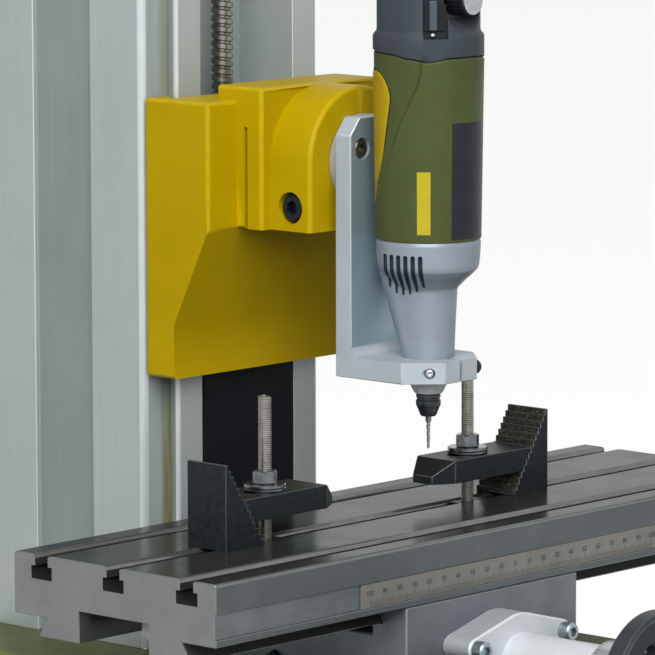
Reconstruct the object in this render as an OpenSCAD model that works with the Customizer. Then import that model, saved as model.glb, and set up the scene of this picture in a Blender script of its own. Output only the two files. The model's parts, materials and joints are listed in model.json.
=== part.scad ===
// Benchtop milling machine: cross-slide table on a cast base, dovetail column
// and a swivelling bracket that carries a hand-held rotary tool.
// Millimetres, +Z up, origin on the floor at the centre of the base bolt pattern.

/* [Base] */
// Width of the base casting
base_w = 220; // [200:1:280]
// Depth of the base casting
base_d = 310; // [300:1:380]
// Height of the base top above the floor
base_h = 65; // [50:1:90]
// Corner radius of the base
base_r = 16; // [4:1:30]
// Wall of the hollow base
base_wall = 12; // [8:1:18]
// Thickness of the base top
base_top = 18; // [16:1:26]
// Diameter of the four floor bolt holes
base_bolt_d = 9; // [6:0.5:12]
// Distance of the floor bolts from the base edges
base_bolt_inset = 22; // [18:1:30]
// Height of the front-to-back dovetail way
way_h = 12; // [10:0.5:16]
// Width of that way at its top
way_top_w = 76; // [60:1:84]

/* [Column] */
// Width of the column
column_w = 120; // [116:1:140]
// Depth of the column
column_d = 100; // [80:1:110]
// Length of the column
column_h = 490; // [470:1:560]
// Space behind the column on the base
column_margin = 7; // [0:1:15]
// Width of the column dovetail at its front
rail_w = 98.4; // [90:0.1:102]
// Distance the dovetail stands out from the column shoulder
rail_h = 11; // [8:0.5:14]
// Width of the lead-screw channel between the rails
channel_w = 63.2; // [50:0.1:66]
// Depth of that channel from the rail front
channel_deep = 35; // [30:1:45]
// Thickness of the plate on top of the column
top_plate_t = 14; // [10:1:20]

/* [Saddle and table] */
// Width of the saddle
saddle_w = 120; // [110:1:140]
// Length of the saddle from front to back
saddle_l = 120; // [110:1:130]
// Height of the saddle
saddle_h = 40.4; // [40:0.1:46]
// Distance of the saddle front ahead of the table centre line
saddle_front = 62; // [56:1:64]
// Length of the table
table_l = 400; // [380:1:440]
// Width of the table
table_w = 125; // [120:1:140]
// Thickness of the table down to its apron edge
table_t = 28.2; // [26:0.1:32]
// Depth of the dovetail legs under the table
leg_h = 9; // [7:0.5:10]
// Width of the table dovetail at its root
leg_root_w = 84; // [76:1:88]
// Gap between the two dovetail legs
leg_gap = 43.2; // [36:0.1:46]
// Spacing of the T-slots
slot_pitch = 45; // [36:1:46]
// Width of a T-slot mouth
slot_mouth = 8; // [6:0.5:9]
// Depth of a T-slot mouth
slot_neck = 5.2; // [4:0.1:6]
// Width of the T-slot undercut
slot_under_w = 13; // [11:0.5:15]
// Height of the T-slot undercut
slot_under_h = 6; // [5:0.5:7]
// Length of the ruler on the table front
ruler_l = 211.8; // [150:0.1:300]
// Height of the ruler groove
ruler_h = 11.2; // [9:0.1:12]
// Distance of the ruler groove below the table top
ruler_drop = 13.6; // [12:0.1:14]
// Sideways offset of the table at rest
table_x = 15.1; // [-40:0.1:40]
// Distance of the table centre line ahead of the column at rest
table_reach = 103; // [101:0.5:140]

/* [Carriage] */
// Width of the carriage
carriage_w = 120; // [116:1:140]
// Height of the carriage
carriage_h = 131; // [128:1:150]
// Height of the carriage bottom above the table at rest
carriage_rest = 61.4; // [58:0.1:90]
// Depth of the thick upper part of the carriage
carriage_upper_t = 41; // [36:0.5:48]
// Depth of the thin lower part of the carriage
carriage_lower_t = 18.5; // [16:0.5:22]
// Radius of the clamp arch
arch_r = 34.5; // [30:0.5:38]
// Height of the swivel axis above the carriage bottom
swivel_up = 103; // [100:0.5:110]
// Diameter of the swivel stub
stub_d = 30; // [24:1:32]

/* [Tool bracket] */
// Distance of the tool axis ahead of the column
throat = 125.2; // [124:0.1:140]
// Width of the bracket
bracket_w = 50; // [46:1:60]
// Thickness of the upright plate
plate_t = 9.5; // [8:0.5:12]
// Distance of the plate front behind the tool axis
plate_back = 25.6; // [25:0.1:30]
// Thickness of the shelf
shelf_t = 10; // [8:0.5:12]
// Height of the shelf underside above the table at rest
shelf_rest = 66; // [66:0.1:90]
// Distance of the shelf front ahead of the tool axis
shelf_front = 20.1; // [17:0.1:24]
// Diameter of the tool collar that the shelf clamps
collar_d = 20; // [18:0.5:22]

/* [Rotary tool] */
// Length of the front housing above the shelf
nose_l = 55.2; // [48:0.1:62]
// Length of the motor housing
motor_l = 83.6; // [76:0.1:100]
// Length of the rear housing
rear_l = 65; // [60:1:80]
// Diameter of the motor housing at its rear
motor_d = 51.2; // [51:0.1:54]
// Wall of the tool housings
tool_wall = 3; // [2:0.5:4]
// Diameter of the spindle
spindle_d = 8; // [6:0.5:9]
// Diameter of the cutter shank
bit_d = 2.6; // [1.5:0.1:3.2]
// Diameter of the cutter at its point
bit_tip_d = 1.3; // [0.5:0.1:1.5]
// Length of the cutter below the collet nut
bit_l = 15.4; // [8:0.1:24]

/* [Feed screws] */
// Diameter of the table and saddle screws
feed_d = 10; // [8:0.5:11]
// Diameter of the column screw
lift_d = 10.5; // [9:0.5:14]
// Distance of the column screw behind the column shoulder
lift_back = 5.4; // [4:0.1:10]
// Radius of the handwheels
wheel_r = 34; // [30:1:36]
// Radius of the bearing bosses
boss_r = 14; // [13:0.5:17]
// Length of the saddle bearing boss
boss_l = 48.5; // [20:0.5:60]

/* [Work clamps] */
// Diameter of the clamp studs
stud_d = 6; // [5:0.5:7]
// Height of the left stud above the table
stud_h = 65; // [50:0.5:65]
// Thickness of the clamp straps
strap_t = 11; // [8:0.5:14]
// Width of the straps and step blocks
strap_w = 24; // [20:1:30]
// Step that carries the straps
strap_step = 4; // [3:1:6]
// Rise of one step
step_rise = 2.8; // [2.5:0.1:3]
// Run of one step
step_run = 1.75; // [1.6:0.05:2]
// Number of steps on a block
step_count = 14; // [12:1:15]

/* [Hidden] */
$fn = 64;
round_fn = 32;

// Clearances
slide_gap = 0.12;   // between flat sliding faces
run_gap = 0.05;     // radial, on a turning shaft
seat_gap = 0.02;    // radial, on a fixed seat
free_gap = 0.5;     // between parts that pass each other
eps = 0.5;          // overshoot of a cut

// Slope of every dovetail flank: sideways run per millimetre of depth
flank = tan(30);

// Levels
saddle_bottom = base_h + 1;
saddle_top = saddle_bottom + saddle_h;
table_bottom = saddle_top + slide_gap;
table_top = table_bottom + table_t;
leg_bottom = table_bottom - leg_h;
ruler_groove = 1;
ledge_z = leg_bottom - 0.4;
channel_floor = leg_bottom - 5.6;
leg_roof_drop = 22.7;
leg_roof = table_top - leg_roof_drop;
way_top = base_h + way_h;
y_axis_up = 9.7;
y_axis_z = base_h + y_axis_up;
x_axis_drop = 31;
x_axis_z = table_top - x_axis_drop;

// Front-to-back places
column_y = base_d / 2 - column_margin - column_d;
rail_y = column_y - rail_h;
table_y = column_y - table_reach;
saddle_y0 = table_y - saddle_front;
saddle_y1 = saddle_y0 + saddle_l;
tool_y = column_y - throat;
lift_y = column_y + lift_back;

// Dovetail ways of the base
way_bottom_w = way_top_w - 2 * way_h * flank;
way_y0 = -base_d / 2 + 2;
way_y1 = column_y - rail_h - 2;
screw_slot_w = 20;
way_room = 0.2;
gib_t = 5;
gib_end = 1;
gib_pitch = 27.5;
gib_shift = 5.5;
gib_hole_r = 2.5;
gib_screw_r = 2.4;
gib_lead = 1.6;
y_gib_z = base_h + 7;
x_gib_z = (table_bottom + leg_bottom) / 2;
leg_root = leg_root_w / 2;

// Column profile
rail_root_w = rail_w - 2 * rail_h * flank;
side_groove_y = 34.4;
side_groove_w = 38;
side_groove_deep = 3;
core_count = 3;
core_w = 26;
core_d = 44;
core_pitch = 33;
core_wall = 8;
column_bolt_x = column_w / 2 - 11;
column_bolt_y = 9;
column_bolt_d = 8;
column_bolt_l = 24;
column_top = base_h + column_h;

// Carriage profile, heights above the carriage bottom
carriage_z = table_top + carriage_rest;
carriage_y1 = column_y - 1.5;
carriage_y0 = carriage_y1 - carriage_upper_t;
carriage_low_y = carriage_y1 - carriage_lower_t;
slope_z0 = 25.6;
slope_z1 = 72.4;
slot_wall_y = rail_y - 0.4;
z_gib_at = [0.2, 0.5, 0.8];
swivel_z = carriage_z + swivel_up;
block_w = 2 * arch_r + 12;
block_out = 15.6;
block_in = 12.8;
block_y0 = carriage_y0 - block_out;
block_y1 = carriage_y0 + block_in;
block_top = swivel_z + arch_r;
arch_l = 24.9;
arch_y0 = block_y0 - arch_l;
arch_drop = 31.6;
arch_bottom = swivel_z - arch_drop;
saw_y = block_y0 + 9;
saw_w = 2.1;
saw_up = 15.8;
saw_top = swivel_z + saw_up;
slit_w = 2.5;
clamp_y = arch_y0 + 12.5;
clamp_z = swivel_z - 20.8;
clamp_d = 8;
clamp_head_r = 6.5;
clamp_sink_r = 7.5;
clamp_sink = 9;

// Bracket and tool
shelf_z = table_top + shelf_rest;
plate_y0 = tool_y + plate_back;
plate_y1 = plate_y0 + plate_t;
plate_up = 22;
plate_top = swivel_z + plate_up;
shelf_y0 = tool_y - shelf_front;
shelf_top = shelf_z + shelf_t;
plate_bolt_at = [[-17, 7.6], [17, 7.6], [0, -18.6]];
plate_bolt_r = 2.2;
plate_head_r = 4.3;
plate_head_h = 5;
plate_sink = 5.5;
shelf_screw_y = shelf_y0 + 5.6;
shelf_screw_z = shelf_z + shelf_t / 2;
shelf_corner_x = 13.9;
shelf_corner_y = 14.6;
shelf_sink = -2.5;
shelf_bolt_r = 2;
shelf_head_r = 3.4;
shelf_head_h = 4;
shelf_bolt_l = 22.7;
set_screw_az = 223;
set_screw_r = 2.5;
disc_r = 21.6;
stub_r = stub_d / 2;
stub_end = block_y1 - 3;
nose_bottom = shelf_z - 6.8;
neck_l = 34;
hump = 10.8;
neck_grow0 = 1.9;
neck_grow1 = 3.8;
vent_count = 6;
vent_az = 164;
vent_step = 9.6;
vent_w = 1.9;
vent_h = 18;
vent_z0 = 23;
motor_z = shelf_top + nose_l;
rear_z = motor_z + motor_l;
tool_end = rear_z + rear_l;
motor_r = motor_d / 2;
motor_front_r = motor_r - 1.2;
rear_r = motor_r - 1.8;
rear_collar = 10.4;
nut_bottom = nose_bottom - 10.9;
nut_top = nose_bottom - 0.4;
nut_r = 6.1;
nut_lip = 3;
bearing_r = 8;
bearing_w = 6;
rear_bearing_z = rear_z + 9;
spindle_top = rear_bearing_z + bearing_w + 4;
switch_az = 229;
switch_z = rear_z + 13.3;
switch_travel = 6;
switch_w = 10;
switch_l = 12;
switch_sink = 2;
switch_room = 0.75;
switch_end_room = 3;
switch_pocket = 10;
knob_z = rear_z + 26.8;
knob_r = 7.2;
knob_y0 = tool_y - 15;
knob_y1 = tool_y - 27.6;
knob_way = 10;
inlay_low = 13;
inlay_high = 5;
stator_low = 11;
stator_short = 24;
stator_wall = 7.5;
armature_low = 13;
armature_short = 28;
armature_gap = 0.7;

// Feed-screw hardware, measured outward along the screw from the boss end
dial_s0 = 0.4;
dial_s1 = 16;
dial_r = 17;
sleeve_r = 9;
hub_s0 = dial_s1 + 0.4;
hub_s1 = 40;
hub_r = 11;
shaft_out = 3;
lift_sink = 8;
rim_s = 31;
rim_half = 5.5;
web_half = 3;
window_count = 5;
grip_at = wheel_r - 7.5;
grip_r = 7;
grip_s0 = rim_s + rim_half + 2;
grip_l = 38;
grip_s1 = grip_s0 + grip_l;
axle_r = 3;
ball_r = 11;
ball_w = 7;
flange_t = 16.5;
lobe_x = 30.5;
x_lobe_up = 14;
y_lobe_up = 10.3;
lobe_r = 5.2;
x_flange_rim = 5;
y_flange_rim = 9;
boss_room = 1.5;
boss_way = 30;
bolt_r = 2.5;
bolt_room = 0.3;
bolt_in = 16;
head_r = 4.25;
head_h = 6;
x_end = table_x + table_l / 2;
x_boss_l = 29.5;
x_boss_end = x_end + flange_t + x_boss_l;
y_boss_end = saddle_y0 - flange_t - boss_l;
z_boss_l = 16;
z_boss_end = column_top + top_plate_t + z_boss_l;
x_screw_back = table_x - table_l / 2 + 22;
y_screw_back = saddle_y1;
y_nut_l = 18;
y_nut_back = 77;
y_nut_y = saddle_y1 - y_nut_back - y_nut_l / 2;
x_nut_l = 24;
x_nut_w = 28;
z_nut_w = 30;
z_nut_l = 30;
z_nut_up = 70;
z_nut_z = carriage_z + z_nut_up;
guard_t = 1.5;
guard_w = channel_w - 1.2;
guard_up = 18;
guard_lap = 26;
guard_z0 = base_h + guard_up;
guard_z1 = carriage_z + guard_lap;

// Work clamps, places along the table
left_block_x = -140.3;
right_block_x = 83;
left_stud_x = -102;
right_stud_x = 38.2;
strap_l = 59.6;
nose_run = 10;
nose_w = 12;
nose_h = 4;
right_stud_h = stud_h - 3;
strap_z = table_top + strap_step * step_rise;
washer_t = 3;
washer_r = 9.5;
clamp_nut_h = 6;
nut_across = 10;
block_l = step_count * step_run;
strap_heel = block_l - strap_step * step_run;
heel_gap = 0.05;
heel_teeth = floor((strap_t - 2 * heel_gap) / step_rise);

// A rectangle with round corners
module rounded_rect(w, d, r) {
    square([w - 2 * r, d], center = true);
    square([w, d - 2 * r], center = true);
    for (x = [-1, 1], y = [-1, 1]) translate([x * (w / 2 - r), y * (d / 2 - r)]) circle(r);
}

// Extrusions of a side profile: along Y of (X, Z) points, along X of (Y, Z) points
module along_y(y0, y1) {
    translate([0, y1, 0]) rotate([90, 0, 0]) linear_extrude(y1 - y0) children();
}
module along_x(x0, x1) {
    translate([x0, 0, 0]) rotate([90, 0, 90]) linear_extrude(x1 - x0) children();
}

// A cylinder along +Y from y0 to y1, or along +X from x0 to x1
module rod_y(x, z, y0, y1, r) {
    translate([x, y1, z]) rotate([90, 0, 0]) cylinder(r = r, h = y1 - y0);
}
module rod_x(y, z, x0, x1, r) {
    translate([x0, y, z]) rotate([0, 90, 0]) cylinder(r = r, h = x1 - x0);
}

// Socket-head cap screw standing on z = 0, head up, with its hexagon socket
module cap_screw(r, head_radius, head_height, shank_l) {
    difference() {
        union() {
            cylinder(r = head_radius, h = head_height);
            translate([0, 0, -shank_l]) cylinder(r = r, h = shank_l + head_height / 4);
        }
        translate([0, 0, head_height / 2]) cylinder(r = r * 0.95, h = head_height, $fn = 6);
    }
}

// Ring of a ball bearing
module bearing_ring(outer, inner, w) {
    difference() {
        cylinder(r = outer - seat_gap, h = w);
        translate([0, 0, -eps]) cylinder(r = inner + run_gap, h = w + 2 * eps);
    }
}

// Frames that put the outward screw axis on local +Z, with z = 0 at the boss end
module at_x_boss() { translate([x_boss_end, table_y, x_axis_z]) rotate([0, 90, 0]) children(); }
module at_y_boss() { translate([0, y_boss_end, y_axis_z]) rotate([90, 0, 0]) children(); }
module at_z_boss() { translate([0, lift_y, z_boss_end]) children(); }

// Handwheel: sleeve, hub, web with round windows and rim, on a shaft of radius shaft_r
module wheel_body(shaft_r) {
    rim_in = wheel_r - 7;
    difference() {
        union() {
            rotate_extrude() polygon([
                [shaft_r + seat_gap, dial_s0], [sleeve_r, dial_s0], [sleeve_r, hub_s0], [hub_r, hub_s0],
                [hub_r, rim_s - web_half], [rim_in, rim_s - web_half], [rim_in, rim_s - rim_half],
                [wheel_r - 1.5, rim_s - rim_half], [wheel_r, rim_s - rim_half + 1.5],
                [wheel_r, rim_s + rim_half - 1.5], [wheel_r - 1.5, rim_s + rim_half],
                [rim_in - 3, rim_s + rim_half], [rim_in - 3, rim_s + web_half], [hub_r, rim_s + web_half],
                [hub_r, hub_s1], [shaft_r + seat_gap, hub_s1]]);
            translate([grip_at, 0, rim_s]) cylinder(r = axle_r, h = grip_s1 + 3 - rim_s);
            translate([grip_at, 0, rim_s]) cylinder(r = axle_r + 2.5, h = grip_s0 - 0.4 - rim_s);
            translate([grip_at, 0, grip_s1 + 0.4]) cylinder(r = axle_r + 2, h = 2.6);
        }
        for (i = [1 : window_count]) rotate(i * 360 / (window_count + 1))
            translate([(hub_r + rim_in - 3) / 2, 0, rim_s - rim_half - eps])
                cylinder(r = (rim_in - 3 - hub_r) / 2 - 1.2, h = 2 * rim_half + 2 * eps);
    }
}

// Graduated ring that turns on the handwheel sleeve
module dial_body() {
    rotate_extrude() polygon([
        [sleeve_r + run_gap, dial_s0], [dial_r - 3, dial_s0], [dial_r, dial_s0 + 3],
        [dial_r, dial_s1 - 1], [dial_r - 1, dial_s1], [sleeve_r + run_gap, dial_s1]]);
}

// Turned crank grip on its axle
module grip_body() {
    l = grip_s1 - grip_s0;
    bore = axle_r + run_gap;
    translate([grip_at, 0, grip_s0]) rotate_extrude() polygon([
        [bore, 0], [grip_r - 2.4, 0], [grip_r - 1.4, 2], [grip_r - 1.8, l * 0.3], [grip_r, l * 0.7],
        [grip_r - 0.6, l * 0.88], [grip_r - 2.4, l], [bore, l]]);
}

// Bearing flange in its own plane: two bolt lobes above a round middle, cut flat below
// the axis, with a full disc of radius disc about the axis
module flange_outline(lobe_up, middle_r, cut_below, disc = 0) {
    if (disc > 0) circle(disc);
    intersection() {
        hull() {
            circle(middle_r, $fn = round_fn);
            for (s = [-1, 1]) translate([s * lobe_x, lobe_up]) circle(lobe_r, $fn = round_fn);
        }
        translate([-lobe_x - lobe_r, -cut_below]) square(2 * (lobe_x + lobe_r));
    }
}

// Bore of a boss: two bearing seats at its ends and a free bore between
module bearing_bores(total_l, shaft_r) {
    translate([0, 0, -total_l - eps]) cylinder(r = shaft_r + 1, h = total_l + 2 * eps);
    translate([0, 0, -ball_w - 1]) cylinder(r = ball_r, h = ball_w + 1 + eps);
    translate([0, 0, -total_l - eps]) cylinder(r = ball_r, h = ball_w + eps);
}
module bearing_pair(total_l, shaft_r) {
    translate([0, 0, -ball_w - 1]) bearing_ring(ball_r, shaft_r, ball_w);
    translate([0, 0, -total_l]) bearing_ring(ball_r, shaft_r, ball_w);
}

// Base and column

function way_outline(grow, bottom, top) = [
    [-way_bottom_w / 2 - grow - (bottom - base_h) * flank, bottom],
    [way_bottom_w / 2 + grow + (bottom - base_h) * flank, bottom],
    [way_bottom_w / 2 + grow + (top - base_h) * flank, top],
    [-way_bottom_w / 2 - grow - (top - base_h) * flank, top]];

module base_casting() {
    bolt_x = base_w / 2 - base_bolt_inset;
    bolt_y = base_d / 2 - base_bolt_inset;
    pocket_top = base_h - base_top;
    color("#3d4a2a") difference() {
        union() {
            difference() {
                linear_extrude(base_h) rounded_rect(base_w, base_d, base_r);
                translate([0, 0, -eps]) linear_extrude(pocket_top + eps)
                    rounded_rect(base_w - 2 * base_wall, base_d - 2 * base_wall, 8);
            }
            for (x = [-1, 1], y = [-1, 1]) translate([x * bolt_x, y * bolt_y, 0])
                cylinder(r = base_bolt_d / 2 + 8, h = base_h - base_top / 2);
            along_y(way_y0, way_y1) polygon(way_outline(0, base_h, way_top));
        }
        for (x = [-1, 1], y = [-1, 1]) translate([x * bolt_x, y * bolt_y, -eps])
            cylinder(d = base_bolt_d, h = base_h + 2 * eps);
        translate([-screw_slot_w / 2, -base_d / 2 - eps, saddle_bottom])
            cube([screw_slot_w, way_y1 + base_d / 2 + 2 * eps, way_h + eps]);
        rod_y(0, y_axis_z, -base_d / 2 - eps, saddle_y0 + boss_way, boss_r + boss_room);
        translate([0, lift_y, base_h - lift_sink]) cylinder(d = lift_d + 2 * run_gap, h = lift_sink + eps);
    }
}

module at_column_bolts() {
    for (x = [-1, 1], y = [column_bolt_y, column_d - column_bolt_y])
        translate([x * column_bolt_x, column_y + y, column_top]) children();
}

module column() {
    half = column_w / 2;
    core_y = column_y + column_d - core_wall - core_d / 2;
    color("#b4bcbc") difference() {
        translate([0, 0, base_h]) linear_extrude(column_h) difference() {
            union() {
                translate([-half, column_y]) square([column_w, column_d]);
                polygon([[-rail_w / 2, rail_y], [rail_w / 2, rail_y], [rail_root_w / 2, column_y],
                    [rail_root_w / 2, column_y + eps], [-rail_root_w / 2, column_y + eps],
                    [-rail_root_w / 2, column_y]]);
            }
            translate([-channel_w / 2, rail_y - eps]) square([channel_w, channel_deep + eps]);
            for (s = [-1, 1]) translate([s * half - side_groove_deep, column_y + side_groove_y])
                square([2 * side_groove_deep, side_groove_w]);
            for (i = [0 : core_count - 1])
                translate([(i - (core_count - 1) / 2) * core_pitch, core_y])
                    square([core_w, core_d], center = true);
        }
        at_column_bolts() translate([0, 0, -column_bolt_l])
            cylinder(d = column_bolt_d - 1, h = column_bolt_l + eps);
    }
}

module column_top_plate() {
    color("#4a4f55") difference() {
        union() {
            translate([0, (rail_y + column_y + column_d) / 2, column_top])
                linear_extrude(top_plate_t) rounded_rect(column_w, column_d + rail_h, 4);
            translate([0, lift_y, column_top + top_plate_t - eps]) cylinder(r = boss_r, h = z_boss_l + eps);
        }
        at_z_boss() bearing_bores(top_plate_t + z_boss_l, lift_d / 2);
        at_column_bolts() translate([0, 0, -eps]) cylinder(d = column_bolt_d + 1, h = top_plate_t + 2 * eps);
    }
}

module column_bolts() {
    color("#22262a") at_column_bolts() translate([0, 0, top_plate_t])
        cap_screw(column_bolt_d / 2 - 0.6, column_bolt_d * 0.8, column_bolt_d,
            top_plate_t + column_bolt_l - 4);
}

module z_bearing() {
    color("#c8ccd0") at_z_boss() bearing_pair(top_plate_t + z_boss_l, lift_d / 2);
}

module y_nut() {
    half = screw_slot_w / 2 - 0.1;
    color("#b08d3c") difference() {
        translate([-half, y_nut_y - y_nut_l / 2, saddle_bottom])
            cube([2 * half, y_nut_l, y_axis_z + feed_d / 2 + 4 - saddle_bottom]);
        rod_y(0, y_axis_z, y_nut_y - y_nut_l, y_nut_y + y_nut_l, feed_d / 2 + run_gap);
    }
}

// Saddle

module saddle() {
    y_slot_top = y_axis_z + feed_d / 2 + 5;
    color("#7d8388") difference() {
        translate([-saddle_w / 2, saddle_y0, saddle_bottom]) cube([saddle_w, saddle_l, saddle_h]);
        // Ways below, with room for the gib on the left
        along_y(saddle_y0 - eps, saddle_y1 + eps) polygon([
            [way_bottom_w / 2 + slide_gap, base_h],
            [way_top_w / 2 + slide_gap + way_room * flank, way_top + way_room],
            [-way_top_w / 2 - gib_t - way_room * flank, way_top + way_room],
            [-way_bottom_w / 2 - gib_t, base_h]]);
        translate([-screw_slot_w / 2 - 2, saddle_y0 - eps, base_h])
            cube([screw_slot_w + 4, saddle_l + 2 * eps, y_slot_top - base_h]);
        // Ways above, with room for the gib at the rear
        along_x(-saddle_w / 2 - eps, saddle_w / 2 + eps) translate([table_y, 0]) polygon([
            [-leg_root - slide_gap, saddle_top + eps],
            [-leg_root - slide_gap, saddle_top],
            [-leg_root - slide_gap - (saddle_top - ledge_z) * flank, ledge_z],
            [-leg_root + 1, ledge_z], [-leg_root + 1, channel_floor],
            [leg_root - 1, channel_floor], [leg_root - 1, ledge_z],
            [leg_root + gib_t + (saddle_top - ledge_z) * flank, ledge_z],
            [leg_root + gib_t, saddle_top], [leg_root + gib_t, saddle_top + eps]]);
        // Tapped holes of the gib screws and the flange bolts
        for (i = [-1.5 : 1 : 1.5]) {
            rod_x(table_y + gib_shift + i * gib_pitch, y_gib_z, -saddle_w / 2 - eps, -way_bottom_w / 2,
                gib_hole_r);
            rod_y(i * gib_pitch, x_gib_z, table_y + leg_root, saddle_y1 + eps, gib_hole_r);
        }
        for (s = [-1, 1])
            rod_y(s * lobe_x, y_axis_z + y_lobe_up, saddle_y0 - eps, saddle_y0 + bolt_in, bolt_r);
    }
}

module y_gib() {
    z0 = saddle_bottom + 0.3;
    z1 = way_top;
    x0 = -way_bottom_w / 2 - (z0 - base_h) * flank;
    x1 = -way_bottom_w / 2 - (z1 - base_h) * flank;
    color("#9aa0a5") along_y(saddle_y0 + gib_end, saddle_y1 - gib_end) polygon([
        [x0 - slide_gap, z0], [x1 - slide_gap, z1], [x1 - gib_t, z1], [x0 - gib_t, z0]]);
}

module x_gib() {
    z0 = leg_bottom;
    z1 = saddle_top - 0.3;
    y0 = table_y + leg_root + (table_bottom - z0) * flank;
    y1 = table_y + leg_root + (table_bottom - z1) * flank;
    far0 = table_y + leg_root + gib_t + (saddle_top - z0) * flank;
    far1 = table_y + leg_root + gib_t + (saddle_top - z1) * flank;
    color("#9aa0a5") along_x(-saddle_w / 2 + gib_end, saddle_w / 2 - gib_end) polygon([
        [y0 + slide_gap, z0], [y1 + slide_gap, z1], [far1, z1], [far0, z0]]);
}

module gib_screws() {
    y_tip = -way_bottom_w / 2 - (y_gib_z - base_h) * flank - gib_t - gib_lead;
    x_tip = table_y + leg_root + gib_t + (saddle_top - x_gib_z) * flank + gib_lead;
    color("#22262a") for (i = [-1.5 : 1 : 1.5]) {
        rod_x(table_y + gib_shift + i * gib_pitch, y_gib_z, -saddle_w / 2 - 3, y_tip, gib_screw_r);
        translate([-saddle_w / 2, table_y + gib_shift + i * gib_pitch, y_gib_z]) rotate([0, -90, 0])
            difference() {
                cylinder(r = 4.6, h = 2.6, $fn = 6);
                translate([0, 0, -eps]) cylinder(r = 2.3, h = 4);
            }
        rod_y(i * gib_pitch, x_gib_z, x_tip, saddle_y1 + 1, gib_screw_r);
    }
}

module y_bearing_flange() {
    total = flange_t + boss_l;
    color("#b6bdc3") difference() {
        union() {
            translate([0, saddle_y0, y_axis_z]) rotate([90, 0, 0]) linear_extrude(flange_t)
                flange_outline(y_lobe_up, boss_r + y_flange_rim, y_axis_z - way_top - free_gap, boss_r);
            rod_y(0, y_axis_z, y_boss_end, saddle_y0 - flange_t + eps, boss_r);
        }
        at_y_boss() bearing_bores(total, feed_d / 2);
        for (s = [-1, 1]) rod_y(s * lobe_x, y_axis_z + y_lobe_up, saddle_y0 - flange_t - eps, saddle_y0 + eps,
            bolt_r + bolt_room);
    }
}

module y_flange_bolts() {
    color("#c9ced2") for (s = [-1, 1])
        translate([s * lobe_x, saddle_y0 - flange_t, y_axis_z + y_lobe_up]) rotate([90, 0, 0])
            cap_screw(bolt_r - 0.1, head_r, head_h, flange_t + bolt_in - 2);
}

module y_bearing() {
    color("#c8ccd0") at_y_boss() bearing_pair(flange_t + boss_l, feed_d / 2);
}

module x_nut() {
    nut_top_z = leg_roof - 1.2;
    color("#b08d3c") difference() {
        translate([-x_nut_l / 2, table_y - x_nut_w / 2, channel_floor])
            cube([x_nut_l, x_nut_w, nut_top_z - channel_floor]);
        rod_x(table_y, x_axis_z, -x_nut_l, x_nut_l, feed_d / 2 + run_gap);
    }
}

// Table and what is bolted to it

module t_slot() {
    translate([-slot_mouth / 2, -slot_neck - eps]) square([slot_mouth, slot_neck + 2 * eps]);
    translate([-slot_under_w / 2, -slot_neck - slot_under_h]) square([slot_under_w, slot_under_h]);
}

module table() {
    half = table_w / 2;
    chamfer = 1;
    leg_foot = leg_root + leg_h * flank;
    color("#6d7174") difference() {
        along_x(table_x - table_l / 2, table_x + table_l / 2) translate([table_y, table_top]) difference() {
            polygon([
                [-half + chamfer, 0], [half - chamfer, 0], [half, -chamfer], [half, -table_t],
                [leg_root, -table_t], [leg_foot, -table_t - leg_h], [leg_gap / 2, -table_t - leg_h],
                [leg_gap / 2, leg_roof - table_top], [-leg_gap / 2, leg_roof - table_top],
                [-leg_gap / 2, -table_t - leg_h], [-leg_foot, -table_t - leg_h], [-leg_root, -table_t],
                [-half, -table_t], [-half, -ruler_drop - ruler_h],
                [-half + ruler_groove, -ruler_drop - ruler_h],
                [-half + ruler_groove, -ruler_drop], [-half, -ruler_drop], [-half, -chamfer]]);
            for (i = [-1 : 1]) translate([i * slot_pitch, 0]) t_slot();
        }
        for (s = [-1, 1])
            rod_x(table_y + s * lobe_x, x_axis_z + x_lobe_up, x_end - bolt_in, x_end + eps, bolt_r);
    }
}

module table_ruler() {
    edge = 0.1;
    sunk = 0.2;
    ruler_z = table_top - ruler_drop - ruler_h;
    color("#a7a79c")
        translate([table_x - ruler_l / 2, table_y - table_w / 2 + sunk, ruler_z + edge])
            cube([ruler_l, ruler_groove - sunk, ruler_h - 2 * edge]);
}

module x_bearing_flange() {
    color("#b6bdc3") difference() {
        union() {
            translate([x_end, table_y, x_axis_z]) rotate([90, 0, 90]) linear_extrude(flange_t)
                flange_outline(x_lobe_up, boss_r + x_flange_rim, x_axis_z - channel_floor - free_gap);
            rod_x(table_y, x_axis_z, x_end + flange_t - eps, x_boss_end, boss_r);
        }
        at_x_boss() bearing_bores(flange_t + x_boss_l, feed_d / 2);
        for (s = [-1, 1])
            rod_x(table_y + s * lobe_x, x_axis_z + x_lobe_up, x_end - eps, x_end + flange_t + eps,
                bolt_r + bolt_room);
    }
}

module x_flange_bolts() {
    color("#c9ced2") for (s = [-1, 1])
        translate([x_end + flange_t, table_y + s * lobe_x, x_axis_z + x_lobe_up]) rotate([0, 90, 0])
            cap_screw(bolt_r - 0.1, head_r, head_h, flange_t + bolt_in - 2);
}

module x_bearing() {
    color("#c8ccd0") at_x_boss() bearing_pair(flange_t + x_boss_l, feed_d / 2);
}

// Work clamps: two sets in the middle T-slot, mirrored

// Places one child on the left set and a mirrored one on the right set
module at_block(side) {
    translate([table_x + (side < 0 ? left_block_x : right_block_x), table_y, table_top])
        mirror([side > 0 ? 1 : 0, 0, 0]) children();
}
module at_stud(side) {
    translate([table_x + (side < 0 ? left_stud_x : right_stud_x), table_y, table_top]) children();
}

module clamp_step_blocks() {
    stairs = [for (i = [0 : step_count - 1]) each [
        [block_l - i * step_run, i * step_rise], [block_l - i * step_run, (i + 1) * step_rise]]];
    color("#1e2226") for (side = [-1, 1]) at_block(side) along_y(-strap_w / 2, strap_w / 2)
        polygon(concat([[0, 0]], stairs, [[0, step_count * step_rise]]));
}

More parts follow.
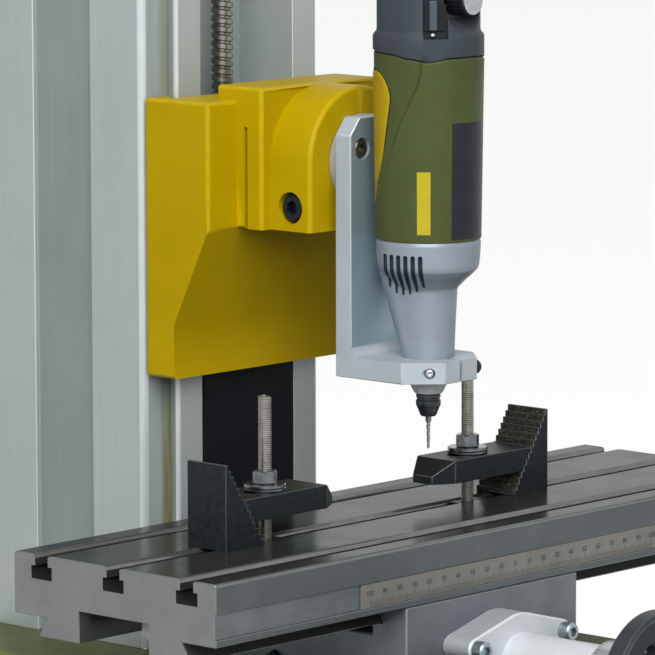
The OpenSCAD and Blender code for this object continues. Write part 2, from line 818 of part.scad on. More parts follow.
module clamp_straps() {
    slot_w = stud_d + 1;
    slot_l = 26;
    nose_at = strap_l - nose_run;
    heel = [for (k = [0 : heel_teeth]) each [
        [-k * step_run, k == 0 ? 0 : k * step_rise + heel_gap],
        [-k * step_run, min((k + 1) * step_rise + heel_gap, strap_t)]]];
    color("#22262b") for (side = [-1, 1]) {
        stud_at = abs((side < 0 ? left_stud_x - left_block_x : right_block_x - right_stud_x));
        at_block(side) difference() {
            translate([strap_heel + heel_gap, 0, strap_z - table_top]) {
                along_y(-strap_w / 2, strap_w / 2) polygon(concat(heel, [[nose_at, strap_t], [nose_at, 0]]));
                hull() {
                    translate([nose_at - eps, -strap_w / 2, 0]) cube([eps, strap_w, strap_t]);
                    translate([strap_l - eps, -nose_w / 2, 0]) cube([eps, nose_w, nose_h]);
                }
            }
            translate([stud_at, 0, strap_z - table_top - eps]) linear_extrude(strap_t + 2 * eps) {
                square([slot_l - slot_w, slot_w], center = true);
                for (s = [-1, 1]) translate([s * (slot_l - slot_w) / 2, 0]) circle(d = slot_w);
            }
        }
    }
}

module clamp_studs() {
    color("#2a2e33") for (side = [-1, 1]) at_stud(side)
        translate([0, 0, -slot_neck - slot_under_h + 0.3])
            cylinder(d = stud_d, h = slot_neck + slot_under_h - 0.3 + (side < 0 ? stud_h : right_stud_h));
}

module clamp_nuts() {
    color("#22262b") for (side = [-1, 1]) at_stud(side)
        translate([0, 0, strap_z - table_top + strap_t + washer_t]) difference() {
            cylinder(d = nut_across / cos(30), h = clamp_nut_h, $fn = 6);
            translate([0, 0, -eps]) cylinder(d = stud_d + 2 * seat_gap, h = clamp_nut_h + 2 * eps);
        }
}

module clamp_washers() {
    color("#26292e") for (side = [-1, 1]) at_stud(side)
        translate([0, 0, strap_z - table_top + strap_t]) difference() {
            cylinder(r = washer_r, h = washer_t);
            translate([0, 0, -eps]) cylinder(d = stud_d + 0.4, h = washer_t + 2 * eps);
        }
}

module clamp_t_nuts() {
    t_l = 18;
    room = 0.25;
    color("#2a2e33") for (side = [-1, 1]) at_stud(side) difference() {
        along_x(-t_l / 2, t_l / 2) {
            translate([-slot_mouth / 2 + room, -slot_neck - eps])
                square([slot_mouth - 2 * room, slot_neck - room]);
            translate([-slot_under_w / 2 + room, -slot_neck - slot_under_h + 0.3])
                square([slot_under_w - 2 * room, slot_under_h - 0.3]);
        }
        translate([0, 0, -slot_neck - slot_under_h])
            cylinder(d = stud_d + 2 * seat_gap, h = slot_neck + slot_under_h + eps);
    }
}

// Carriage

module carriage() {
    half = carriage_w / 2;
    block_half = block_w / 2;
    depth = carriage_y1 - slot_wall_y;
    rail_gap_y = column_y - carriage_y1;
    mouth = rail_root_w / 2 + rail_gap_y * flank;
    back = mouth + depth * flank;
    color("#b59b14") difference() {
        union() {
            along_x(-half, half) polygon([
                [carriage_y1, carriage_z], [carriage_y1, carriage_z + carriage_h],
                [carriage_y0, carriage_z + carriage_h], [carriage_y0, carriage_z + slope_z1],
                [carriage_low_y, carriage_z + slope_z0], [carriage_low_y, carriage_z]]);
            translate([-block_half, block_y0, arch_bottom])
                cube([block_w, block_y1 - block_y0, block_top - arch_bottom]);
            translate([-arch_r, arch_y0, arch_bottom])
                cube([2 * arch_r, arch_l + eps, swivel_z - arch_bottom]);
            rod_y(0, swivel_z, arch_y0, block_y0 + eps, arch_r);
        }
        // Dovetail slot, with room for the gib on the right
        translate([0, 0, carriage_z - eps]) linear_extrude(carriage_h + 20) polygon([
            [-mouth - slide_gap + eps * flank, carriage_y1 + eps], [-back - slide_gap, slot_wall_y],
            [back + gib_t, slot_wall_y], [mouth + gib_t - eps * flank, carriage_y1 + eps]]);
        // Stub bore, saw cut, slit and clamp screw
        rod_y(0, swivel_z, arch_y0 - eps, block_y1 - 2, stub_r + run_gap);
        translate([-block_half - eps, saw_y, arch_bottom - eps])
            cube([block_w + 2 * eps, saw_w, saw_top - arch_bottom + eps]);
        translate([-slit_w / 2, arch_y0 - eps, arch_bottom - eps])
            cube([slit_w, saw_y - arch_y0 + 2 * eps, swivel_z - arch_bottom]);
        rod_x(clamp_y, clamp_z, -block_half, block_half, clamp_d / 2 + 0.2);
        rod_x(clamp_y, clamp_z, -block_half, -arch_r + clamp_sink, clamp_sink_r);
        for (z = z_gib_at)
            rod_x(carriage_y1 - depth / 2, carriage_z + z * carriage_h, mouth, half + eps, gib_hole_r);
    }
}

module z_gib() {
    depth = carriage_y1 - slot_wall_y;
    mouth = rail_root_w / 2 + (column_y - carriage_y1) * flank;
    near = mouth + depth * flank;
    lead = rail_y - slot_wall_y + 0.2;
    color("#9aa0a5") translate([0, 0, carriage_z + gib_end]) linear_extrude(carriage_h - 2 * gib_end)
        polygon([
            [near - lead * flank + slide_gap, slot_wall_y + lead],
            [near - lead * flank + gib_t, slot_wall_y + lead],
            [mouth + gib_t, carriage_y1], [mouth + slide_gap, carriage_y1]]);
}

module z_gib_screws() {
    depth = carriage_y1 - slot_wall_y;
    mouth = rail_root_w / 2 + (column_y - carriage_y1) * flank;
    tip = mouth + depth * flank / 2 + gib_t + gib_lead;
    color("#22262a") for (z = z_gib_at)
        rod_x(carriage_y1 - depth / 2, carriage_z + z * carriage_h, tip, carriage_w / 2 + 1, gib_screw_r);
}

module carriage_clamp_screw() {
    color("#1e2226") translate([-arch_r + clamp_sink, clamp_y, clamp_z]) rotate([0, -90, 0])
        cap_screw(clamp_d / 2, clamp_head_r, clamp_d, 2 * arch_r - clamp_sink - 6);
}

module z_nut() {
    color("#b08d3c") difference() {
        translate([-z_nut_w / 2, slot_wall_y, z_nut_z - z_nut_l / 2])
            cube([z_nut_w, lift_y + lift_d / 2 + 4 - slot_wall_y, z_nut_l]);
        translate([0, lift_y, z_nut_z - z_nut_l]) cylinder(d = lift_d + 2 * run_gap, h = 2 * z_nut_l);
    }
}

module swarf_guard() {
    color("#1b1c1e") translate([-guard_w / 2, slot_wall_y, guard_z0])
        cube([guard_w, guard_t, guard_z1 - guard_z0]);
}

// Swivelling tool bracket

module at_plate_bolts() {
    for (at = plate_bolt_at) translate([at[0], plate_y0, swivel_z + at[1]]) rotate([90, 0, 0]) children();
}

module swivel_stub() {
    disc_t = arch_y0 - 0.4 - plate_y1;
    color("#9aa2a8") difference() {
        union() {
            rod_y(0, swivel_z, plate_y1, plate_y1 + disc_t, disc_r);
            rod_y(0, swivel_z, plate_y1 + disc_t - eps, stub_end, stub_r);
        }
        at_plate_bolts() translate([0, 0, -plate_t - disc_t + 1])
            cylinder(r = plate_bolt_r, h = plate_t + disc_t);
    }
}

module tool_bracket() {
    half = bracket_w / 2;
    top_x = 6.4;
    top_z = 8;
    fillet = 5;
    color("#a9b3ba") difference() {
        union() {
            along_y(plate_y0, plate_y1) polygon([
                [-half, shelf_z], [half, shelf_z], [half, plate_top - top_z], [half - top_x, plate_top],
                [-half + top_x, plate_top], [-half, plate_top - top_z]]);
            translate([0, 0, shelf_z]) linear_extrude(shelf_t) polygon([
                [-half, plate_y0 + eps], [-half, shelf_y0 + shelf_corner_y], [-half + shelf_corner_x, shelf_y0],
                [half - shelf_corner_x, shelf_y0], [half, shelf_y0 + shelf_corner_y], [half, plate_y0 + eps]]);
            along_x(-half, half) difference() {
                translate([plate_y0 - fillet, shelf_top - eps]) square(fillet + eps);
                translate([plate_y0 - fillet, shelf_top + fillet]) circle(fillet);
            }
        }
        translate([0, tool_y, shelf_z - eps]) cylinder(d = collar_d + 2 * seat_gap, h = shelf_t + 2 * eps);
        translate([-1, shelf_y0 - eps, shelf_z - eps]) cube([2, tool_y - shelf_y0, shelf_t + 2 * eps]);
        rod_x(shelf_screw_y, shelf_screw_z, -half, half, shelf_bolt_r + 0.1);
        rod_x(shelf_screw_y, shelf_screw_z, half - shelf_corner_x - shelf_sink, half, shelf_head_r + 0.4);
        at_set_screw() cylinder(r = set_screw_r, h = bracket_w);
        at_plate_bolts() {
            translate([0, 0, -plate_t - eps]) cylinder(r = plate_bolt_r + 0.2, h = plate_t + 2 * eps);
            translate([0, 0, -plate_sink]) cylinder(r = plate_head_r + 0.7, h = plate_sink + eps);
        }
    }
}

module bracket_bolts() {
    color("#c9ced2") at_plate_bolts() translate([0, 0, -plate_sink])
        cap_screw(plate_bolt_r - 0.1, plate_head_r, plate_head_h, plate_t);
}

// Set screw in the left chamfer, pointing at the tool collar
module at_set_screw() {
    translate([0, tool_y, shelf_screw_z]) rotate(set_screw_az) rotate([0, 90, 0]) children();
}

module bracket_clamp_screws() {
    seat = bracket_w / 2 - shelf_corner_x - shelf_sink;
    color("#c9ced2") {
        translate([seat, shelf_screw_y, shelf_screw_z]) rotate([0, 90, 0])
            cap_screw(shelf_bolt_r, shelf_head_r, shelf_head_h, shelf_bolt_l);
        at_set_screw() translate([0, 0, collar_d / 2 + 0.3]) cylinder(r = set_screw_r - 0.1, h = 11);
    }
}

// Rotary tool

module at_tool(z) { translate([0, tool_y, z]) children(); }

// Neck of the front housing: a slim cone in front, swelling backwards into the motor cup
module neck_disc(y, z, grow) {
    translate([0, y, z]) cylinder(r = collar_d / 2 + grow, h = eps, $fn = round_fn);
}
module neck() {
    hull() {
        neck_disc(0, shelf_top, neck_grow0);
        neck_disc(0, shelf_top + neck_l, neck_grow1);
        neck_disc(hump, shelf_top + neck_l + 4, neck_grow1);
    }
}

module front_housing() {
    r = collar_d / 2;
    bore = spindle_d / 2 + 0.6;
    top_r = motor_front_r - 0.3;
    cup_z = shelf_top + neck_l - 2;
    color("#a3aeb8") at_tool(0) difference() {
        union() {
            rotate_extrude() polygon([
                [0, nose_bottom], [nut_r - 0.2, nose_bottom], [r - 1.35, shelf_z - 3], [r - 1.35, shelf_z],
                [r, shelf_z], [r, shelf_top], [r + neck_grow0, shelf_top], [r + 3, cup_z],
                [top_r - 2, cup_z + 7],
                [top_r - 0.6, cup_z + 12], [top_r, motor_z], [0, motor_z]]);
            neck();
        }
        rotate_extrude() polygon([
            [0, nose_bottom - eps], [bore, nose_bottom - eps], [bore, shelf_z], [bearing_r, shelf_z],
            [bearing_r, shelf_top + 6], [r - 1, cup_z], [top_r - tool_wall - 2, cup_z + 9],
            [top_r - tool_wall, motor_z + eps], [0, motor_z + eps]]);
        for (side = [0, 1]) mirror([side, 0, 0])
            for (i = [0 : vent_count - 1]) rotate(vent_az + i * vent_step)
                translate([r + 3, -vent_w / 2, motor_z - vent_z0]) cube([top_r, vent_w, vent_h]);
    }
}

module motor_housing() {
    color("#505b2e") at_tool(0) rotate_extrude() polygon([
        [motor_front_r, motor_z], [motor_r, rear_z], [motor_front_r - tool_wall, rear_z],
        [motor_front_r - tool_wall, motor_z]]);
}

module rear_housing() {
    top_in = tool_end - tool_wall;
    color("#3a3f45") difference() {
        at_tool(0) rotate_extrude() polygon([
            [motor_r, rear_z], [motor_r, rear_z + rear_collar], [rear_r, rear_z + rear_collar + 2],
            [rear_r, tool_end - 8],
            [rear_r - 2.4, tool_end - 2.4], [rear_r - 8, tool_end], [0, tool_end], [0, top_in],
            [rear_r - 8, top_in], [rear_r - tool_wall, top_in - 8],
            [rear_r - tool_wall, rear_bearing_z + bearing_w], [bearing_r, rear_bearing_z + bearing_w],
            [bearing_r, rear_bearing_z], [bearing_r + 3, rear_bearing_z - 3],
            [motor_front_r - tool_wall, rear_z]]);
        at_tool(switch_z) rotate(switch_az)
            translate([rear_r - switch_sink, -switch_w / 2 - switch_room, -switch_end_room])
                cube([switch_pocket, switch_w + 2 * switch_room, switch_l + switch_travel + 2 * switch_end_room]);
        rod_y(0, knob_z, knob_y1 - knob_way, knob_y0, knob_r + 0.5);
    }
}

module housing_inlays() {
    inlay_az = [27, 153];
    inlay_span = 52;
    inlay_t = 0.5;
    z0 = motor_z + inlay_low;
    z1 = rear_z - inlay_high;
    r0 = motor_front_r + (motor_r - motor_front_r) * (z0 - motor_z) / motor_l + seat_gap;
    r1 = motor_front_r + (motor_r - motor_front_r) * (z1 - motor_z) / motor_l + seat_gap;
    color("#b59b14") at_tool(0) for (a = inlay_az) rotate(a - inlay_span / 2)
        rotate_extrude(angle = inlay_span)
            polygon([[r0, z0], [r0 + inlay_t, z0], [r1 + inlay_t, z1], [r1, z1]]);
}

module stator() {
    color("#6b6e70") at_tool(motor_z + stator_low) difference() {
        cylinder(r = motor_front_r - tool_wall - seat_gap, h = motor_l - stator_short);
        translate([0, 0, -eps]) cylinder(r = motor_front_r - tool_wall - stator_wall, h = motor_l);
    }
}

module tool_bearings() {
    color("#c8ccd0") {
        for (z = [shelf_z, shelf_top - bearing_w, rear_bearing_z])
            at_tool(z) bearing_ring(bearing_r, spindle_d / 2, bearing_w - (z == shelf_z ? 2.5 : 0));
    }
}

module spindle() {
    mouth_r = bit_d / 2 + 1.2;
    color("#b9bdc1") at_tool(0) difference() {
        translate([0, 0, nut_bottom + nut_lip])
            cylinder(d = spindle_d, h = spindle_top - nut_bottom - nut_lip);
        translate([0, 0, nut_bottom + nut_lip - eps]) cylinder(r = mouth_r + seat_gap, h = 24 + eps);
    }
}

module armature() {
    color("#8a5a2b") at_tool(motor_z + armature_low) difference() {
        cylinder(r = motor_front_r - tool_wall - stator_wall - armature_gap, h = motor_l - armature_short);
        translate([0, 0, -eps]) cylinder(r = spindle_d / 2 + seat_gap, h = motor_l);
    }
}

module collet() {
    color("#a8acb0") at_tool(nut_bottom + 1.2) difference() {
        cylinder(r = bit_d / 2 + 1.2, h = 22);
        translate([0, 0, -eps]) cylinder(r = bit_d / 2 + seat_gap, h = 22 + 2 * eps);
    }
}

module collet_nut() {
    in_r = spindle_d / 2 + seat_gap;
    tip_r = bit_d / 2 + 1.2 + seat_gap;
    color("#191b1e") at_tool(0) rotate_extrude() polygon([
        [tip_r, nut_bottom], [3.6, nut_bottom], [nut_r, nut_bottom + 5], [nut_r, nut_bottom + 7],
        [nut_r - 0.4, nut_bottom + 7.6], [nut_r - 0.3, nut_top], [in_r, nut_top],
        [in_r, nut_bottom + nut_lip], [tip_r, nut_bottom + nut_lip]]);
}

module milling_bit() {
    color("#c4c7ca") at_tool(nut_bottom - bit_l) rotate_extrude() polygon([
        [0, 0], [bit_tip_d / 2, 0.4], [bit_tip_d / 2, bit_l * 0.5], [bit_d / 2, bit_l * 0.75],
        [bit_d / 2, bit_l + 20], [0, bit_l + 20]]);
}

module switch_slider() {
    color("#26292d") at_tool(switch_z) rotate(switch_az)
        translate([rear_r - switch_sink + 0.05, -switch_w / 2, 0]) cube([3.6, switch_w, switch_l]);
}

module speed_knob() {
    color("#15171a") {
        rod_y(0, knob_z, knob_y1 + 1.5, knob_y0 - 0.1, knob_r);
        rod_y(0, knob_z, knob_y1, knob_y1 + 2, knob_r - 0.7);
    }
}

// Feed screws, handwheels, dials and grips

module x_screw() {
    color("#5c6166") rod_x(table_y, x_axis_z, x_screw_back, x_boss_end + hub_s1 + shaft_out, feed_d / 2);
}
module x_handwheel() { color("#2b2e32") at_x_boss() wheel_body(feed_d / 2); }
module x_dial() { color("#c3c7ca") at_x_boss() dial_body(); }
module x_grip() { color("#17191b") at_x_boss() grip_body(); }

module y_screw() {
    color("#5c6166") rod_y(0, y_axis_z, y_boss_end - hub_s1 - shaft_out, y_screw_back, feed_d / 2);
}
module y_handwheel() { color("#2b2e32") at_y_boss() wheel_body(feed_d / 2); }
module y_dial() { color("#c3c7ca") at_y_boss() dial_body(); }
module y_grip() { color("#17191b") at_y_boss() grip_body(); }

module z_screw() {
    color("#5c6166") translate([0, lift_y, base_h - lift_sink + 1])
        cylinder(d = lift_d, h = z_boss_end + hub_s1 + shaft_out - base_h + lift_sink - 1);
}
module z_handwheel() { color("#2b2e32") at_z_boss() wheel_body(lift_d / 2); }
module z_dial() { color("#c3c7ca") at_z_boss() dial_body(); }
module z_grip() { color("#17191b") at_z_boss() grip_body(); }

base_casting();
column();
column_top_plate();
column_bolts();
z_bearing();
y_nut();
saddle();
x_gib();
y_gib();
gib_screws();
y_bearing_flange();
y_flange_bolts();
y_bearing();
x_nut();
table();
table_ruler();
x_bearing_flange();
x_flange_bolts();
x_bearing();
clamp_step_blocks();
clamp_straps();
clamp_studs();
clamp_nuts();
clamp_washers();
clamp_t_nuts();
carriage();
z_gib();
z_gib_screws();
carriage_clamp_screw();
z_nut();
swarf_guard();
swivel_stub();
tool_bracket();
bracket_bolts();
bracket_clamp_screws();
front_housing();
motor_housing();
rear_housing();
housing_inlays();
stator();
tool_bearings();
spindle();
armature();
collet();
collet_nut();
milling_bit();
switch_slider();
speed_knob();
x_screw();
x_handwheel();
x_dial();
x_grip();
y_screw();
y_handwheel();
y_dial();
y_grip();
z_screw();
z_handwheel();
z_dial();
z_grip();
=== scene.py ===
"""Looks of a benchtop milling machine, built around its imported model."""

import json
import math

import bmesh
import bpy
from mathutils import Matrix, Vector

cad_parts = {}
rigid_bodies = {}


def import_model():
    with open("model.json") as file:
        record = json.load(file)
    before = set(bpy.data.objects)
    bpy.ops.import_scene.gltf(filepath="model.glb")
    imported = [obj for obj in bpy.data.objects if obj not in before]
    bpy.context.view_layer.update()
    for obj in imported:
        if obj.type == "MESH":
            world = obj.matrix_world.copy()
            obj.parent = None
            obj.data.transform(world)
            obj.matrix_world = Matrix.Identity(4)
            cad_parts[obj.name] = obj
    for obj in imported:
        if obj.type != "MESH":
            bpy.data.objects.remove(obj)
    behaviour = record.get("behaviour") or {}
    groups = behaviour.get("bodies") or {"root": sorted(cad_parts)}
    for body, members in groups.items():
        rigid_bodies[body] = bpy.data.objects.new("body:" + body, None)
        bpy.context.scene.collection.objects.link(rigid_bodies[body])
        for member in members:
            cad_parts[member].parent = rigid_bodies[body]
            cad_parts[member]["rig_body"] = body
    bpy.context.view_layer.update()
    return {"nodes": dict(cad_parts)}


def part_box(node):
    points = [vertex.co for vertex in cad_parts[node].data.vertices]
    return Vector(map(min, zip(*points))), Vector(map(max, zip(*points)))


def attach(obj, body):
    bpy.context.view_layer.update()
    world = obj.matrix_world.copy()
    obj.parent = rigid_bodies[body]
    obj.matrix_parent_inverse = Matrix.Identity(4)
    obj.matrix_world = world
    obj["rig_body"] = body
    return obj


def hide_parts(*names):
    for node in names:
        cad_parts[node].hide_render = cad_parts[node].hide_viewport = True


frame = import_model()
scene = bpy.context.scene
scene.view_settings.view_transform = "Standard"
MM = 0.001
X_AXIS, Y_AXIS, Z_AXIS = Vector((1, 0, 0)), Vector((0, 1, 0)), Vector((0, 0, 1))


# Small helpers

def box_mm(node):
    """Lowest and highest corner of a CAD node, in millimetres."""
    low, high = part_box(node)
    return low / MM, high / MM


def middle_of(node):
    """Middle of a CAD node's box, in millimetres."""
    low, high = box_mm(node)
    return (low + high) / 2


def foot_of(node, axis):
    """Where an axis through the middle of a CAD node's box enters it, in millimetres."""
    low, high = box_mm(node)
    middle = (low + high) / 2
    return Vector([(low if a > 0 else high)[k] if a else middle[k] for k, a in enumerate(axis)])


def polar(radius, degrees):
    """Two coordinates of a point by its radius and its degrees from the first of them."""
    angle = math.radians(degrees)
    return radius * math.cos(angle), radius * math.sin(angle)


def smooth_step(value, start, end):
    """0 before start, 1 after end, and an even curve between them."""
    t = max(0.0, min(1.0, (value - start) / (end - start)))
    return t * t * (3 - 2 * t)


def between(value, pairs):
    """A value read from given (place, value) pairs, with straight lines between them."""
    for (a, low), (b, high) in zip(pairs, pairs[1:]):
        if value <= b:
            return low + (high - low) * max(0.0, value - a) / (b - a)
    return pairs[-1][1]


def linear(code):
    """An sRGB hex colour as linear RGBA."""
    parts = [int(code[i:i + 2], 16) / 255 for i in (1, 3, 5)]
    return (*[c / 12.92 if c <= 0.04045 else ((c + 0.055) / 1.055) ** 2.4 for c in parts], 1.0)


def feed(tree, socket, source):
    """Gives an input a value, or links it from a socket or from a node's first output."""
    if isinstance(source, bpy.types.Node):
        source = source.outputs[0]
    if isinstance(source, bpy.types.NodeSocket):
        tree.links.new(source, socket)
    else:
        socket.default_value = source


def add(tree, kind, inputs=None, **settings):
    """Adds a node with its settings and feeds its inputs."""
    node = tree.nodes.new(kind)
    for name, value in settings.items():
        setattr(node, name, value)
    for key, source in (inputs or {}).items():
        feed(tree, node.inputs[key], source)
    return node


# Finishes

def finish(name, base, other, patch, roughness, metallic=0.0, grain=None, streak=None, specks=None,
           specular=0.14, glance=None):
    """A finish of two colours in patches of a size in mm, between two values of roughness.

    grain is (size, height) of the surface's fine relief in mm. streak is the length along X, Y and Z
    of drawn or brushed marks in mm, then how strongly they colour the surface. specks is (size in mm,
    share from 0 to 1, colour) of small spots. glance is how much a metal mirrors at a shallow angle.
    """
    material = bpy.data.materials.new(name)
    material.use_nodes = True
    material.diffuse_color = linear(base)
    tree = material.node_tree
    shader = tree.nodes["Principled BSDF"]
    place = add(tree, "ShaderNodeTexCoord").outputs["Object"]
    patches = add(tree, "ShaderNodeTexNoise",
                  {"Vector": place, "Scale": 1 / (patch * MM), "Detail": 5.0, "Roughness": 0.62})
    share = add(tree, "ShaderNodeMapRange", {"Value": patches, "From Min": 0.34, "From Max": 0.66})
    colour = add(tree, "ShaderNodeMix", {0: share, 6: linear(base), 7: linear(other)},
                 data_type="RGBA").outputs[2]
    shine = add(tree, "ShaderNodeMapRange", {"Value": patches, "From Min": 0.3, "From Max": 0.7,
                                             "To Min": roughness[0], "To Max": roughness[1]})
    normal = None
    if streak:
        lines_at = add(tree, "ShaderNodeMapping",
                       {"Vector": place, "Scale": [1 / (length * MM) for length in streak[:3]]})
        lines = add(tree, "ShaderNodeTexNoise",
                    {"Vector": lines_at, "Scale": 1.0, "Detail": 3.0, "Roughness": 0.7})
        tone = add(tree, "ShaderNodeMapRange", {"Value": lines, "From Min": 0.3, "From Max": 0.7,
                                                "To Min": 1.0 - streak[3], "To Max": 1.0 + streak[3]})
        colour = add(tree, "ShaderNodeVectorMath", {0: colour, "Scale": tone}, operation="SCALE")
        shine = add(tree, "ShaderNodeMath", {0: shine, 1: tone}, operation="MULTIPLY")
        normal = add(tree, "ShaderNodeBump", {"Height": lines, "Distance": 0.01 * MM, "Strength": 0.6})
    if grain:
        fine = add(tree, "ShaderNodeTexNoise",
                   {"Vector": place, "Scale": 1 / (grain[0] * MM), "Detail": 2.0})
        below = {"Normal": normal} if normal else {}
        normal = add(tree, "ShaderNodeBump", {"Height": fine, "Distance": grain[1] * MM, **below})
    if specks:
        dots = add(tree, "ShaderNodeTexNoise",
                   {"Vector": place, "Scale": 1 / (specks[0] * MM), "Detail": 3.0, "Roughness": 0.7})
        edge = 0.72 - 0.4 * specks[1]
        worn = add(tree, "ShaderNodeMapRange", {"Value": dots, "From Min": edge, "From Max": edge + 0.06})
        colour = add(tree, "ShaderNodeMix", {0: worn, 6: colour, 7: linear(specks[2])},
                     data_type="RGBA").outputs[2]
    looks = {"Base Color": colour, "Roughness": shine, "Metallic": metallic}
    if normal:
        looks["Normal"] = normal
    if metallic < 0.5:
        looks["Specular IOR Level"] = specular
    if glance:
        looks["Specular Tint"] = linear(glance)
    for socket, source in looks.items():
        feed(tree, shader.inputs[socket], source)
    return material


def oil_stained(material, colour, beside, half_width, depth, low_z, high_z, strength):
    """Adds painted shade with a yellow painted reflection, as streaks in a band on both sides of the centre
    line, stronger towards the bottom.

    beside and half_width give the band along X, depth is where it starts along Y, all in mm.
    """
    tree = material.node_tree
    base = tree.nodes["Principled BSDF"].inputs["Base Color"]
    clean = base.links[0].from_socket
    place = add(tree, "ShaderNodeTexCoord").outputs["Object"]
    xyz = add(tree, "ShaderNodeSeparateXYZ", {0: place}).outputs
    out = add(tree, "ShaderNodeMath", {0: xyz["X"]}, operation="ABSOLUTE")
    away = add(tree, "ShaderNodeMath", {0: out, 1: beside * MM}, operation="SUBTRACT")
    distance = add(tree, "ShaderNodeMath", {0: away}, operation="ABSOLUTE")
    runs_at = add(tree, "ShaderNodeMapping",
                  {"Vector": place, "Scale": [1 / (length * MM) for length in (1.6, 3, 40)]})
    runs = add(tree, "ShaderNodeTexNoise", {"Vector": runs_at, "Scale": 1.0, "Detail": 3.0})
    amount = strength
    for value, start, end, first, last, curve in (
            (distance, 0.4 * half_width * MM, half_width * MM, 1.0, 0.0, "SMOOTHSTEP"),
            (xyz["Y"], (depth - 3) * MM, depth * MM, 0.0, 1.0, "LINEAR"),
            (xyz["Y"], (depth + 20) * MM, (depth + 30) * MM, 1.0, 0.0, "LINEAR"),
            (xyz["Z"], low_z * MM, high_z * MM, 1.0, 0.42, "SMOOTHSTEP"),
            (runs, 0.3, 0.6, 0.45, 1.0, "LINEAR")):
        share = add(tree, "ShaderNodeMapRange",
                    {"Value": value, "From Min": start, "From Max": end, "To Min": first, "To Max": last},
                    interpolation_type=curve)
        amount = add(tree, "ShaderNodeMath", {0: amount, 1: share}, operation="MULTIPLY")
    mixed = add(tree, "ShaderNodeMix", {0: amount, 6: clean, 7: linear(colour)}, data_type="RGBA").outputs[2]
    feed(tree, base, mixed)


# Stove enamel on a filled casting: an even satin skin with a faint orange peel
yellow_enamel = finish("yellow_enamel", "#b39703", "#ab9001", 40, (0.38, 0.48), grain=(1.6, 0.03),
                       specular=0.08)
# The same enamel rubbed thin on the corners, where it looks paler; the paleness is also a painted highlight
yellow_wear_and_sheen = finish("yellow_enamel_worn_sheen", "#b89d0c", "#b09504", 6, (0.34, 0.44), grain=(1.6, 0.02),
                     specular=0.1)
# Hammered olive enamel on the base: satin with a soft dimple, paler on rubbed corners, where the paleness is
# also a painted highlight
olive_enamel = finish("olive_enamel", "#4e5831", "#464f2b", 50, (0.36, 0.5), grain=(2.2, 0.06))
olive_wear_and_sheen = finish("olive_enamel_worn_sheen", "#69733f", "#565f33", 8, (0.34, 0.46))
# Charcoal enamel on handwheels and the column's cap: dark satin with lighter corners, rubbed and with a
# painted highlight
grey_enamel = finish("charcoal_enamel", "#33373c", "#2c3034", 40, (0.34, 0.46), grain=(1.4, 0.04))
grey_wear_and_sheen = finish("charcoal_enamel_worn_sheen", "#5b6067", "#44494f", 6, (0.3, 0.4))
# Anodised extrusion: pale satin with fine lines drawn along its length, and painted shade with a yellow
# painted reflection at the foot of the dovetail
column_aluminium = finish("anodised_extrusion", "#aab2b1", "#a4adac", 60, (0.4, 0.5), metallic=0.35,
                          streak=(0.9, 0.9, 120, 0.05))
# Painted shade and a painted yellow reflection in a band at the dovetail's foot
oil_stained(column_aluminium, "#7d7436", beside=45.0, half_width=4.6, depth=46.0, low_z=120.0, high_z=230.0,
            strength=0.85)
# The extrusion's side channel, duller and a little darker: its darkness is painted shade in the recess
channel_painted_shade = finish("shaded_extrusion_channel", "#8b9694", "#84908d", 60, (0.5, 0.6), metallic=0.2,
                           streak=(0.9, 0.9, 120, 0.05))
# Its corners catch the light
column_edge = finish("anodised_extrusion_corner", "#bcc4c4", "#b3bbbc", 12, (0.32, 0.4), metallic=0.4)
# Bead-blasted aluminium plate: even frosted grey
blasted_aluminium = finish("bead_blasted_aluminium", "#afb7be", "#a6afb6", 30, (0.46, 0.56), metallic=0.3,
                           grain=(0.5, 0.02))
# The plate's front is finer and reflects more of what stands before it; its darker, bluer colour is painted
# shade with a painted reflection
blasted_shaded_front = finish("bead_blasted_aluminium_shaded_front", "#9eb3bb", "#95aab2", 30, (0.36, 0.44), metallic=0.6,
                       grain=(0.5, 0.015))
# The plate's rounded corners, paler: a painted highlight
blasted_corner_sheen = finish("bead_blasted_aluminium_corner_sheen", "#b9c0c4", "#aeb5b9", 10, (0.34, 0.42), metallic=0.4)
# Sand-cast and blasted aluminium: pale and finely granular; the sides take a darker copy as painted shade,
# and the corners a brighter one as a painted highlight
cast_aluminium = finish("cast_aluminium", "#d0d4d8", "#c6cbd0", 16, (0.46, 0.58), metallic=0.25,
                        grain=(0.6, 0.035))
cast_shaded_side = finish("cast_aluminium_shaded_side", "#a6aaaf", "#9ca1a6", 16, (0.46, 0.58), metallic=0.25,
                   grain=(0.9, 0.03))
# Painted highlight on the castings' rounded corners
cast_corner_sheen = finish("cast_aluminium_corner_sheen", "#d6dade", "#cbd0d5", 8, (0.4, 0.5), metallic=0.35)
# Machined casting of the saddle: blue-grey with milling marks across
saddle_casting = finish("machined_casting", "#757b80", "#696f74", 24, (0.42, 0.52), metallic=0.45,
                        streak=(1.2, 60, 1.2, 0.05))
# The saddle's rounded corners, lighter: a painted highlight
saddle_corner_sheen = finish("machined_casting_corner_sheen", "#7f858b", "#747a80", 8, (0.36, 0.44), metallic=0.5)
# Ground steel table: mid grey with fine lines along its length and darker handling patches
table_steel = finish("ground_steel_table", "#6a6c6b", "#5d5f5f", 26, (0.15, 0.25), metallic=0.8,
                     streak=(70, 0.7, 0.7, 0.06), glance="#b0b2b4")
# The table's rounded corners, lighter: a painted highlight
table_corner_sheen = finish("ground_steel_table_corner_sheen", "#7b7d7c", "#6f7170", 10, (0.24, 0.34), metallic=0.8,
                    glance="#b0b2b4")
# Its ends are milled: lighter and without the lines
table_end = finish("milled_table_end", "#7c7f7e", "#717473", 26, (0.24, 0.34), metallic=0.7)
